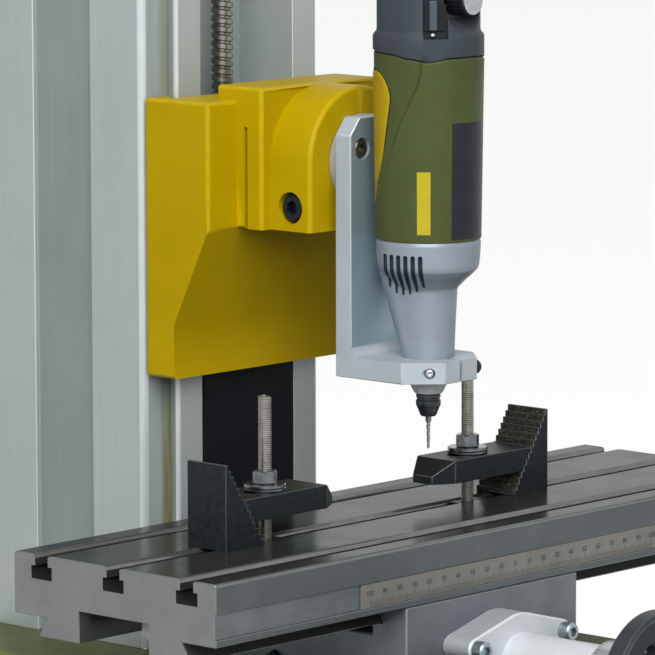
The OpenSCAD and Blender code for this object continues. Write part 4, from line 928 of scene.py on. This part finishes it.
FLANGE_HEAD, CAP_HEAD = (4.25, 6.0, 2.4), (6.4, 8.0, 3.6)
PLATE_HEAD, CLAMP_HEAD = (4.3, 5.0, 2.3), (6.5, 8.0, 3.6)
for node, axis, rows, head, material, slot in (
        ("y_flange_bolts", -Y_AXIS, "x", FLANGE_HEAD, zinc_plate, "bright_steel"),
        ("x_flange_bolts", X_AXIS, "y", FLANGE_HEAD, zinc_plate, "bright_steel"),
        ("column_bolts", Z_AXIS, "xy", CAP_HEAD, black_oxide, "black_steel"),
        ("bracket_bolts", -Y_AXIS, "xz", PLATE_HEAD, bracket_zinc, "bright_steel"),
        ("carriage_clamp_screw", -X_AXIS, "", CLAMP_HEAD, black_oxide, "black_steel")):
    seats = seats_in(node, axis, rows, head)
    if node == "bracket_bolts":
        # Two side by side above, and one in the middle below
        seats = seats[1::2] + seats_in(node, axis, "z", head)[:1]
    screw_heads(node, seats, axis, head, material)

# Rotary tool: an axis, heights from the frame, and angles seen from the picture's side

motor_low, motor_high = box_mm("motor_housing")
nose_low, _ = box_mm("front_housing")
_, rear_high = box_mm("rear_housing")
nut_box_low, nut_box_high = box_mm("collet_nut")
TOOL_X = (nut_box_low.x + nut_box_high.x) / 2
TOOL_Y = (nut_box_low.y + nut_box_high.y) / 2
MOTOR_Z, REAR_Z, TOOL_END = motor_low.z, motor_high.z, rear_high.z
MOTOR_R = (motor_high.x - motor_low.x) / 2
MOTOR_FRONT_R = MOTOR_R - 1.2
SHELF_Z = box_mm("tool_bracket")[0].z
SHELF_TOP = SHELF_Z + 10.0
COLLAR_R = 10.0
VIEW_AZ = 222.47
TOOL_RING = 240
SHELF_MID = (SHELF_Z + SHELF_TOP) / 2

# Screws of the bracket's shelf: a cap screw across its slit and a domed set screw against the tool
CROSS_HEAD_H, CROSS_SHANK = 4.0, 22.7
CROSS_PROFILE = [(0.3, 0), (2.0, 0), (2.0, CROSS_SHANK), (3.4, CROSS_SHANK), (3.4, 25.6), (2.9, 26.5),
                 (1.7, 26.7), (1.7, 24.6), (0.3, 24.6)]
cross_foot = (box_mm("bracket_clamp_screws")[1].x - CROSS_SHANK - CROSS_HEAD_H,
              box_mm("tool_bracket")[0].y + 5.6, SHELF_MID)
cross = shaped("shelf_cross_screw", [turned(CROSS_PROFILE, cross_foot, X_AXIS)], black_oxide, smooth=30)
SET_PROFILE = [(0.3, 0), (2.4, 0), (2.4, 10.0), (2.1, 10.6), (1.6, 10.95), (1.0, 11.0), (0.9, 10.2),
               (0.3, 10.0)]
set_axis = Vector((*polar(1, 223), 0))
set_foot = Vector((TOOL_X, TOOL_Y, SHELF_MID)) + set_axis * (COLLAR_R + 0.3)
set_screw = shaped("shelf_set_screw", [turned(SET_PROFILE, set_foot, set_axis)], bright_steel, smooth=40)
dress(joined("shelf_screws", [cross, set_screw]), "head", ["bracket_clamp_screws"])


def tool_point(radius, azimuth, z):
    """A point round the tool's axis: radius and height in mm, azimuth in degrees from +X."""
    x, y = polar(radius, azimuth)
    return Vector((TOOL_X + x, TOOL_Y + y, z))


def beside_axis(azimuth, out, aside, z):
    """A point by its distances out from the tool's axis and aside, in an azimuth's own directions."""
    x, y = polar(1, azimuth)
    return Vector((TOOL_X + out * x - aside * y, TOOL_Y + out * y + aside * x, z))


def even(radius):
    """The same radius all round."""
    return lambda azimuth, z: radius


def tool_ring(radius_at, z, count=TOOL_RING):
    """A ring of points round the tool's axis, with a radius for each azimuth."""
    return [tool_point(radius_at(360 * k / count, z), 360 * k / count, z) for k in range(count)]


def motor_radius(z):
    """The motor housing swells a little towards the rear."""
    return MOTOR_FRONT_R + (MOTOR_R - MOTOR_FRONT_R) * (z - MOTOR_Z) / (REAR_Z - MOTOR_Z)


def from_front(azimuth):
    """Degrees away from the tool's front, the same on both sides."""
    return abs((azimuth - 270 + 180) % 360 - 180)


CREASE = [(22, 105.0), (34, 97.5), (45, 88.5), (56, 78.0), (66, 66.5), (73, 59.3), (78, 56.6), (85, 55.6)]
CREASE_DEPTH, CREASE_LINE, CREASE_FADE_LOW, CREASE_FADE_HIGH = 0.5, 0.4, 26, 48


def crease_at(z):
    """Degrees from the tool's front to the crease, as a flowing line through listed points."""
    height = max(CREASE[0][0], min(CREASE[-1][0], z - MOTOR_Z))
    last = len(CREASE) - 2
    k = next((i for i in range(last) if height <= CREASE[i + 1][0]), last)
    (a, start), (b, end) = CREASE[k], CREASE[k + 1]
    slopes = []
    for i in (k, k + 1):
        (x0, y0), (x1, y1) = CREASE[max(0, i - 1)], CREASE[min(last + 1, i + 1)]
        slopes.append((y1 - y0) / (x1 - x0) * (b - a))
    t = (height - a) / (b - a)
    return ((2 * t ** 3 - 3 * t ** 2 + 1) * start + (t ** 3 - 2 * t ** 2 + t) * slopes[0]
            + (3 * t ** 2 - 2 * t ** 3) * end + (t ** 3 - t ** 2) * slopes[1])


def behind_crease(azimuth, z):
    """Millimetres round the motor housing from its crease towards the back."""
    return (from_front(azimuth) - crease_at(z)) * math.pi / 180 * MOTOR_R


def motor_skin(azimuth, z):
    """The motor housing's outer radius, with the flanks sunk a little behind a curved crease."""
    behind = behind_crease(azimuth, z)
    fade = smooth_step(z - MOTOR_Z, CREASE_FADE_LOW, CREASE_FADE_HIGH)
    groove = CREASE_DEPTH * max(0.0, 1 - abs(behind) / CREASE_LINE)
    return motor_radius(z) - fade * (CREASE_DEPTH * smooth_step(behind, 0.1, 1.2) + groove)


NECK_H, NECK_LEAN, NECK_SWELL = 38.0, 11.8, 1.9


def neck_radius(azimuth, z):
    """The neck: a cone that leans back into a hump under the motor."""
    t = max(0.0, min(1.0, (z - SHELF_TOP) / NECK_H))
    lean, r = NECK_LEAN * t, COLLAR_R + NECK_SWELL * (1 + t)
    away = math.radians(180 - from_front(azimuth))
    if away < math.pi / 2 and lean * math.tan(away) < r:
        return lean * math.cos(away) + math.sqrt(max(0.0, r * r - (lean * math.sin(away)) ** 2))
    if away < math.pi / 2:
        return r / math.sin(away)
    return r


CUP = [(30, 11.8), (32, 13.4), (36, 17.2), (39, 20.6), (41.3, 22.8), (43.4, 23.5), (48, 23.9), (53.6, 24.2),
       (54.7, 24.1), (55.2, 23.7)]
CUP_RIM = [(0, 40), (53.6, 24.2), (55.2, 23.7)]
CUP_BLEND = 1.6


def front_skin(azimuth, z):
    """The front housing's outer radius: the neck and the cup under the motor, blended."""
    cup = between(z - SHELF_TOP, CUP)
    neck = neck_radius(azimuth, z)
    mix = max(0.0, min(1.0, 0.5 + 0.5 * (cup - neck) / CUP_BLEND))
    blend = neck * (1 - mix) + cup * mix + CUP_BLEND * mix * (1 - mix) * 0.5
    return min(blend, between(z - SHELF_TOP, CUP_RIM))


nose = [(6.4, nose_low.z), (6.8, nose_low.z + 0.5), (8.65, SHELF_Z - 2.6), (8.65, SHELF_Z),
        (COLLAR_R, SHELF_Z + 0.01), (COLLAR_R, SHELF_TOP + 0.01)]
inside = [(MOTOR_FRONT_R - 3.2, MOTOR_Z), (MOTOR_FRONT_R - 3.4, MOTOR_Z - 10), (17, SHELF_TOP + 40),
          (9, SHELF_TOP + 32), (8, SHELF_TOP + 6), (8, SHELF_Z), (4.7, SHELF_Z), (4.7, nose_low.z)]
FRONT_LEVELS, FRONT_START = 80, SHELF_TOP + 0.05
front_rings = [tool_ring(even(r), z) for r, z in nose]
front_rings += [tool_ring(front_skin, FRONT_START + (MOTOR_Z - FRONT_START) * k / FRONT_LEVELS)
                for k in range(FRONT_LEVELS + 1)]
front_rings += [tool_ring(even(r), z) for r, z in inside]
front = shaped("tool_front_housing", [loft(front_rings, closed=True)], silver_lacquer, smooth=40)

# Vents: parallel saw cuts on both flanks, with round tops, that run out on the cone
VENTS, VENT_AZ, VENT_FIRST, VENT_STEP, VENT_W = 6, 210.0, -16.8, 3.55, 2.1
VENT_FEET = [32.6, 30.2, 29.6, 30.2, 31.6, 34.0]
VENT_TOP, VENT_DEPTH, VENT_REACH, VENT_ROWS = 49.4, 2.3, 30.0, 14


def skin_reach(aside, z):
    """How far out the front housing's skin lies in the vents' direction."""
    out = 26.0
    while out > 2.0:
        if math.hypot(out, aside) <= front_skin(VENT_AZ + math.degrees(math.atan2(aside, out)), z):
            break
        out -= 0.1
    return out


def vent(index, mirrored):
    """The cutter of one vent: deep at the top, running out at its foot."""
    aside, half = VENT_FIRST + VENT_STEP * index, VENT_W / 2
    foot, crown = SHELF_TOP + VENT_FEET[index], SHELF_TOP + VENT_TOP - half
    levels = [(half * min(1.0, 0.6 + 0.07 * k), foot + (crown - foot) * k / VENT_ROWS)
              for k in range(VENT_ROWS + 1)]
    levels += [(wide, crown + up) for wide, up in (polar(half, degrees) for degrees in (30, 60, 80))]
    rings = []
    for wide, z in levels:
        floor = skin_reach(aside, z) - min(VENT_DEPTH, 0.45 + 0.3 * (z - foot))
        corners = [(floor, -wide), (VENT_REACH, -wide), (VENT_REACH, wide), (floor, wide)]
        rings.append([beside_axis(VENT_AZ, out, aside + step, z) for out, step in corners])
    if mirrored:
        rings = [[Vector((2 * TOOL_X - p.x, p.y, p.z)) for p in ring] for ring in rings]
    return loft(rings)


# The vents' new walls take a dark lining: painted shade inside the vents
cut(front, [vent(k, mirrored) for k in range(VENTS) for mirrored in (False, True)], vent_shadow, smooth=40)
# The nose under the shelf takes the paler finish: painted light against its shade
front.data.materials.append(nose_painted_light)
for face in front.data.polygons:
    if face.center.z < (SHELF_Z - 0.2) * MM:
        face.material_index = 2
dress(front, "head", ["front_housing"])

# Motor housing: its rear end waves into the rear housing
BORDER = [(0, 0.8), (24, 0.6), (50, -0.8), (70, 0.4), (90, 2.2), (138, 3.0), (180, 3.0)]
FRONT_TURNS, BACK_TURNS = 44, 56


def border_rise(azimuth):
    """How far the seam between motor and rear housing rises, by degrees from the tool's front."""
    reach = from_front(azimuth)
    for (a, low_rise), (b, high_rise) in zip(BORDER, BORDER[1:]):
        if reach <= b:
            return low_rise + (high_rise - low_rise) * smooth_step(reach, a, b)
    return BORDER[-1][1]


def motor_turns(z):
    """Azimuths of a ring of the motor housing, close together along the crease."""
    degrees_per_mm = 180 / (math.pi * MOTOR_R)
    crease = [crease_at(z) + step * degrees_per_mm for step in (-0.9, -0.4, -0.12, 0.12, 0.4, 0.8, 1.3)]
    front = [crease[0] * k / FRONT_TURNS for k in range(FRONT_TURNS)]
    back = [crease[-1] + (180 - crease[-1]) * k / BACK_TURNS for k in range(1, BACK_TURNS + 1)]
    reach = front + crease + back
    return [270 - r for r in reversed(reach)] + [270 + r for r in reach[1:-1]]


def motor_ring(radius_at, z):
    """A ring of the motor housing, lifted with the seam near the rear end."""
    lift = smooth_step(z, REAR_Z - 9, REAR_Z)
    return [tool_point(radius_at(a, z), a, z + lift * border_rise(a)) for a in motor_turns(z)]


MOTOR_LEVELS = 110
motor_levels = [(even(MOTOR_FRONT_R - 0.5), MOTOR_Z), (even(MOTOR_FRONT_R), MOTOR_Z + 0.4)]
motor_levels += [(motor_skin, MOTOR_Z + 0.6 + (REAR_Z - MOTOR_Z - 1.4) * k / MOTOR_LEVELS)
                 for k in range(MOTOR_LEVELS + 1)]
motor_levels += [(lambda a, z: motor_skin(a, z) - 0.08, REAR_Z - 0.5),
                 (lambda a, z: motor_skin(a, z) - 0.5, REAR_Z - 0.15),
                 (even(MOTOR_R - 1.6), REAR_Z - 0.1), (even(MOTOR_R - 1.6), REAR_Z),
                 (even(MOTOR_FRONT_R - 3), REAR_Z), (even(MOTOR_FRONT_R - 3), MOTOR_Z)]
motor_rings = [motor_ring(radius_at, z) for radius_at, z in motor_levels]
motor = shaped("tool_motor_housing", [loft(motor_rings, closed=True)], green_polyamide, smooth=40)
# Faces along the crease take a darker green: painted shade in the crease
motor.data.materials.append(crease_shadow)
for face in motor.data.polygons:
    spot = face.center / MM
    turn = math.degrees(math.atan2(spot.y - TOOL_Y, spot.x - TOOL_X)) % 360
    if spot.z > MOTOR_Z + 34 and abs(behind_crease(turn, spot.z)) < 0.32:
        face.material_index = 1
dress(motor, "head", ["motor_housing"])

# Inlays: a leaf on each flank, with a dark seat round it that is painted shade in the seam
inlay_low, inlay_high = box_mm("housing_inlays")
INLAY_BACK, INLAY_TIP, INLAY_WIDE, INLAY_TOP = 143.0, 137.5, 93.5, 122.5


def inlay_edge(z):
    """Degrees from the tool's front to the inlay's front edge."""
    tip, wide, top = inlay_low.z, MOTOR_Z + 65.0, inlay_high.z - 0.6
    if z <= wide:
        return INLAY_TIP + (INLAY_WIDE - INLAY_TIP) * max(0.0, (z - tip) / (wide - tip)) ** 0.52
    u = min(1.0, (z - wide) / (top - wide))
    return INLAY_WIDE + (INLAY_TOP - INLAY_WIDE) * (1 - math.sqrt(max(0.0, 1 - u * u)))


def flank_patch(edge_front, edge_back, z_low, z_high, lift_at, side, rows=60, columns=18, sunk=0.6):
    """A thin curved plate on the motor housing between two edges given in degrees from the front."""
    rings = []
    for i in range(rows + 1):
        z = z_low + (z_high - z_low) * i / rows
        a, b = edge_front(z), edge_back(z)
        seat = motor_radius(z) - CREASE_DEPTH
        outer, inner = [], []
        for k in range(columns + 1):
            t = k / columns
            azimuth = 270 + side * (a + (b - a) * t)
            outer.append(tool_point(seat + lift_at(t, i / rows), azimuth, z))
            inner.append(tool_point(seat - sunk, azimuth, z))
        rings.append(outer + inner[::-1])
    return loft(rings)


def pillow(height):
    """A lift that rounds off towards the plate's edges."""
    return lambda t, s: height * min(1.0, 9 * t * (1 - t) + 0.45) * min(1.0, 14 * s * (1 - s) + 0.5)


inlays = [flank_patch(inlay_edge, lambda z: INLAY_BACK, inlay_low.z + 0.5, inlay_high.z - 0.7, pillow(0.5),
                      side) for side in (-1, 1)]
inlay_pair = shaped("tool_inlays", inlays, yellow_polyamide, smooth=60)
dress(inlay_pair, "head", ["housing_inlays"])
SEAT_RIM = 1.4
# The dark seats are painted shade round the inlays
seats = [flank_patch(lambda z: inlay_edge(z) - SEAT_RIM, lambda z: INLAY_BACK + SEAT_RIM,
                     inlay_low.z - 0.6, inlay_high.z + 0.1, lambda t, s: 0.12, side) for side in (-1, 1)]
dress(shaped("tool_inlay_seats", seats, seam_shadow, smooth=60), "head")

# Two thin bare plates, placed by degrees from the picture's side and by height over the motor's front end
for name, az_low, az_high, z_low, z_high, material, slot in (
        ("tool_plate_narrow", -13.3, 1.0, 4.0, 32.8, label_yellow, "yellow_plastic"),
        ("tool_plate_wide", 24.4, 71.0, 1.5, 54.8, label_dark, "black_plastic")):
    plate = flank_patch(lambda z: VIEW_AZ + az_low - 270, lambda z: VIEW_AZ + az_high - 270, MOTOR_Z + z_low,
                        MOTOR_Z + z_high, lambda t, s: CREASE_DEPTH + 0.18, 1, rows=24, columns=16, sunk=0.2)
    dress(shaped(name, [plate], material), "head")

# Rear housing: a collar with a flat at the switch, a switch groove and a bay round the knob
REAR_R = MOTOR_R - 1.8
REAR_H = TOOL_END - REAR_Z
slide_low, slide_high = box_mm("switch_slider")
knob_low, knob_high = box_mm("speed_knob")
SWITCH_AZ, SWITCH_TRAVEL = 229.0, 6.0
FLAT_OUT, FLAT_H, FLAT_TURN = MOTOR_R - 0.7, 12, 40
KNOB_Z = (knob_low.z + knob_high.z) / 2
KNOB_R = (knob_high.z - knob_low.z) / 2
KNOB_L = knob_high.y - knob_low.y


def rear_ring(height, radius):
    """A ring of the rear housing at a height over its seam."""
    ring = []
    for k in range(TOOL_RING):
        azimuth = 360 * k / TOOL_RING
        aside = abs(azimuth - SWITCH_AZ)
        on_flat = height < FLAT_H and aside < FLAT_TURN
        flat = FLAT_OUT / math.cos(math.radians(aside)) if on_flat else radius
        rise = border_rise(azimuth) * (1 - smooth_step(height, 0, 8))
        ring.append(tool_point(min(radius, flat), azimuth, REAR_Z + height + rise))
    return ring


rear_profile = [(0.0, MOTOR_R - 1.6), (0.25, MOTOR_R - 1.6), (0.3, MOTOR_R - 0.55), (0.75, MOTOR_R),
                (4.0, MOTOR_R), (9.8, MOTOR_R), (10.6, MOTOR_R - 0.3), (12.0, REAR_R + 0.25), (13.2, REAR_R),
                (REAR_H - 9, REAR_R), (REAR_H - 5, REAR_R - 0.7), (REAR_H - 1.9, REAR_R - 3.0),
                (REAR_H - 0.5, REAR_R - 6.0), (REAR_H, REAR_R - 10), (REAR_H, 0.3), (REAR_H - 3, 0.3),
                (REAR_H - 3, 10.0), (0.0, 10.0)]
rear_rings = [rear_ring(height, radius) for height, radius in rear_profile]
rear = shaped("tool_rear_housing", [loft(rear_rings, closed=True)], grey_polyamide, smooth=50)


def switch_block(out, side, z):
    """A box in the switch's own directions, each given as (low, high)."""
    corners = [(out[0], side[0]), (out[1], side[0]), (out[1], side[1]), (out[0], side[1])]
    return loft([[beside_axis(SWITCH_AZ, o, s, level) for o, s in corners] for level in z])


def bay_outline(y, half, bottom, corner):
    """An outline across the knob's bay: a round top and two rounded lower corners."""
    arcs = [(0, KNOB_Z, half, range(0, 181, 12)),
            (corner - half, bottom + corner, corner, range(186, 270, 12)),
            (half - corner, bottom + corner, corner, range(276, 360, 12))]
    outline = []
    for mid_x, mid_z, radius, turns in arcs:
        for degrees in turns:
            x, z = polar(radius, degrees)
            outline.append(Vector((TOOL_X + mid_x + x, y, mid_z + z)))
    return outline


GROOVE_HALF, BAY_DEPTH = 5.75, 22.0
groove = switch_block((REAR_R - 2.0, REAR_R + 8), (-GROOVE_HALF, GROOVE_HALF),
                      (slide_low.z - 3.6, slide_high.z + SWITCH_TRAVEL + 4.0))
bay = loft([bay_outline(knob_high.y, 10.4, KNOB_Z - 8.6, 7.5),
            bay_outline(knob_high.y - BAY_DEPTH, 15.0, KNOB_Z - 21.6, 10.0)])
# The switch groove's walls take a dark lining: painted shade in the groove
cut(rear, [groove], groove_shadow, smooth=50)
cut(rear, [bay], grey_polyamide, smooth=50)
dress(rounded(rear, 0.5, angle=50), "head", ["rear_housing"])

# Switch slider: a dark pad with a paler raised rail; a bright contact pin stands beside it
pad_block = switch_block((REAR_R - 1.9, REAR_R - 0.8), (-5.0, 5.0), (slide_low.z, slide_high.z))
pad = shaped("switch_pad", [pad_block], black_polyamide)
rail_block = switch_block((REAR_R - 0.9, REAR_R + 1.4), (-2.9, 0.7), (slide_low.z + 0.3, slide_high.z + 2.0))
rail = rounded(shaped("switch_rail", [rail_block], rail_polyamide), 0.7, 3)
dress(joined("tool_switch_slider", [rounded(pad, 0.2), rail]), "switch", ["switch_slider"])
PIN_PROFILE = [(0.2, 0), (1.2, 0), (1.2, 1.3), (1.0, 1.7), (0.6, 1.95), (0.2, 2.05)]
pin_foot = beside_axis(SWITCH_AZ, REAR_R - 2.1, -1.1, slide_low.z - 1.9)
pin_axis = Vector((*polar(1, SWITCH_AZ), 0))
pin = shaped("tool_switch_pin", [turned(PIN_PROFILE, pin_foot, pin_axis, count=40)], bright_steel, smooth=60)
dress(pin, "head")

# Speed knob: a knurled ring with a bright turned cap
knob_profile = [(0.3, 0), (KNOB_R - 0.7, 0), (KNOB_R - 0.5, 0.3), (KNOB_R - 0.5, KNOB_L - 1.8),
                (KNOB_R - 1.2, KNOB_L - 1.2), (0.3, KNOB_L - 1.2)]
knob_turned = turned(knob_profile, (TOOL_X, knob_high.y, KNOB_Z), -Y_AXIS)
knob_core = shaped("knob_core", [knob_turned], black_polyamide)
KNOB_RIBS, RIB_R, RIB_L = 24, KNOB_R - 0.45, KNOB_L - 3.0
ribs = bars("knob_ribs", KNOB_RIBS, 2 * math.pi * RIB_R / KNOB_RIBS, 0.9, 0.7, [RIB_L] * 3, black_polyamide)
wrapped(ribs, RIB_R, aimed(-Y_AXIS, (TOOL_X, knob_high.y - 0.6, KNOB_Z)))
cap_profile = [(0.3, 0), (KNOB_R - 0.8, 0), (KNOB_R - 0.8, 0.9), (KNOB_R - 1.3, 1.2), (KNOB_R - 2.2, 1.05),
               (0.3, 1.05)]
cap = shaped("knob_cap", [turned(cap_profile, (TOOL_X, knob_low.y + 1.2, KNOB_Z), -Y_AXIS)], bright_steel)
dress(joined("tool_speed_knob", [knob_core, ribs, cap]), "speed_knob", ["speed_knob"])

# Collet nut and cutter
NUT_PROFILE = [(4.1, 0), (5.5, 0), (5.7, -0.3), (5.7, -1.6), (5.3, -2.0), (5.3, -2.7), (5.75, -3.1),
               (5.75, -5.2), (5.55, -5.6), (4.9, -7.0), (3.95, -9.6), (3.3, -10.5), (2.7, -10.5), (2.6, -8)]
nut_foot = (TOOL_X, TOOL_Y, nut_box_high.z)
collet_nut = shaped("collet_nut_turned", [turned(NUT_PROFILE, nut_foot)], nut_steel, smooth=30)
dress(collet_nut, "spindle", ["collet_nut"])
bit_low, bit_high = box_mm("milling_bit")


def flute_ring(radius, depth, twist, z, count=48):
    """A ring with two flutes."""
    ring = []
    for k in range(count):
        hollow = max(0.0, math.cos(2 * (2 * math.pi * k / count - twist)))
        ring.append(tool_point(radius - depth * hollow, 360 * k / count, z))
    return ring


# The cutter: twisted flutes to the tip, widening into a plain shank
FLUTE_STEP, FLUTE_LEVELS, FLUTE_TWIST = 0.16, 76, 0.16
bit_rings = [flute_ring(0.05, 0, 0, bit_low.z)]
for level in range(FLUTE_LEVELS):
    up = FLUTE_STEP * level
    bit_rings.append(flute_ring(min(0.62 + 0.03 * up, 0.2 + 0.9 * level / 6), 0.3 if level > 1 else 0.05,
                                level * FLUTE_TWIST, bit_low.z + 0.02 + up))
flute_end = bit_low.z + FLUTE_STEP * FLUTE_LEVELS
bit_rings += [flute_ring(r, 0, 0, z)
              for r, z in ((0.95, flute_end), (1.4, nut_box_low.z - 2.2), (1.4, bit_high.z))]
cutter = shaped("milling_bit_fluted", [loft(bit_rings)], cutter_steel, smooth=40)
dress(cutter, "spindle", ["milling_bit"])

# Table ruler with its marks
ruler_low, ruler_high = box_mm("table_ruler")
softened("table_ruler", 0.15, ruler_aluminium, segments=2)
ruler_mid = (ruler_low.x + ruler_high.x) / 2
RULER_SPAN, NUMBER_H = 100, 3.4
front_face = Matrix.Rotation(math.radians(90), 4, "X")


def on_ruler(across, up):
    """The matrix that stands flat marks on the ruler, by mm from its middle and from its lower edge."""
    return Matrix.Translation(Vector((ruler_mid + across, ruler_low.y, ruler_low.z + up)) * MM) @ front_face


ticks = bars("ruler_ticks", 2 * RULER_SPAN + 1, 1.0, 0.2, 0.06, (2.6, 3.4, 4.4), ink)
ticks.data.transform(on_ruler(-RULER_SPAN, 0.3))
dress(ticks, "table")
numbers = [(str(abs(mark)), on_ruler(mark, 5.4)) for mark in range(-RULER_SPAN, RULER_SPAN + 1, 10)]
dress(lettered("ruler_numbers", numbers, NUMBER_H, ink), "table")

# Dial marks and grips
WHEEL_AXES = {"x": X_AXIS, "y": -Y_AXIS, "z": Z_AXIS}
DIAL_R, DIAL_MARKS, DIAL_START = 17.0, 50, 3.2
for wheel, axis in WHEEL_AXES.items():
    marks = bars(wheel + "_dial_marks", DIAL_MARKS, 2 * math.pi * DIAL_R / DIAL_MARKS, 0.25, 0.06,
                 (2.4, 3.6, 4.8), ink)
    wrapped(marks, DIAL_R, aimed(axis, foot_of(wheel + "_dial", axis) + axis * DIAL_START))
    dress(marks, wheel + "_dial")
GRIP_PROFILE = [(3.4, 0), (4.4, 0), (5.2, 0.6), (5.5, 2.2), (5.15, 6.5), (5.3, 11.5), (6.1, 18),
                (6.85, 24.5), (7.0, 28), (6.8, 31.5), (6.2, 34.5), (5.2, 37), (4.2, 38), (3.4, 38)]
for wheel, axis in WHEEL_AXES.items():
    grip_shape = turned(GRIP_PROFILE, foot_of(wheel + "_grip", axis), axis, count=48)
    grip = shaped(wheel + "_grip_turned", [grip_shape], phenolic, smooth=50)
    dress(grip, wheel + "_grip", [wheel + "_grip"])

# Stage: floor, light and camera

def background_strength(tree):
    """1 for rays that look at the background straight, in a mirror or through glass."""
    path = add(tree, "ShaderNodeLightPath").outputs
    seen = path["Is Camera Ray"]
    for other in ("Is Glossy Ray", "Is Transmission Ray"):
        seen = add(tree, "ShaderNodeMath", {0: seen, 1: path[other]}, operation="MAXIMUM")
    return seen


def facing(start, target):
    """The matrix that puts a camera or a lamp at a place in mm, so that it looks at a target."""
    turn = (target - start).to_track_quat("-Z", "Y").to_matrix().to_4x4()
    return Matrix.Translation(start * MM) @ turn


AMBIENT, FLOOR_GLOW = 0.27, 0.86
world = bpy.data.worlds.new("studio")
scene.world = world
world.use_nodes = True
sky = world.node_tree
level = add(sky, "ShaderNodeMapRange", {"Value": background_strength(sky), "To Min": AMBIENT, "To Max": 1.0})
feed(sky, sky.nodes["Background"].inputs["Strength"], level)
feed(sky, sky.nodes["Background"].inputs["Color"], (1, 1, 1, 1))

floor_material = bpy.data.materials.new("pale_floor")
floor_material.use_nodes = True
floor_tree = floor_material.node_tree
floor_tree.nodes.remove(floor_tree.nodes["Principled BSDF"])
matt = add(floor_tree, "ShaderNodeBsdfDiffuse", {"Color": linear("#8c8c8a")})
glow_level = add(floor_tree, "ShaderNodeMath", {0: background_strength(floor_tree), 1: FLOOR_GLOW},
                 operation="MULTIPLY")
glow = add(floor_tree, "ShaderNodeEmission", {"Strength": glow_level})
both = add(floor_tree, "ShaderNodeAddShader", {0: matt, 1: glow})
feed(floor_tree, floor_tree.nodes["Material Output"].inputs["Surface"], both)
FLOOR_R, FLOOR_T = 14000.0, 5.0
floor_profile = [(0.01, 0), (FLOOR_R, 0), (FLOOR_R, -FLOOR_T), (0.01, -FLOOR_T)]
floor = shaped("floor", [turned(floor_profile, closed=False)], floor_material)

CAMERA_TARGET = Vector((-44.655, -55.0, 226.759))
CAMERA_PLACE = Vector((-1762.7, -1627.7, 549.1))
CAMERA_LENS, CAMERA_ROLL = 282.4, 0.132
camera_data = bpy.data.cameras.new("camera")
camera_data.sensor_width = 36.0
camera_data.lens = CAMERA_LENS
camera_data.clip_start, camera_data.clip_end = 0.05, 60.0
camera = place(bpy.data.objects.new("camera", camera_data))
roll = Matrix.Rotation(math.radians(-CAMERA_ROLL), 4, "Z")
camera.matrix_world = facing(CAMERA_PLACE, CAMERA_TARGET) @ roll
scene.camera = camera

LAMP_PLACE, LAMP_TARGET = Vector((-1060, -940, 1250)), Vector((0, -40, 220))
lamp_data = bpy.data.lights.new("key", "AREA")
lamp_data.shape = "SQUARE"
lamp_data.size = 1.5
lamp_data.energy = 42.0
lamp = place(bpy.data.objects.new("key", lamp_data))
lamp.matrix_world = facing(LAMP_PLACE, LAMP_TARGET)
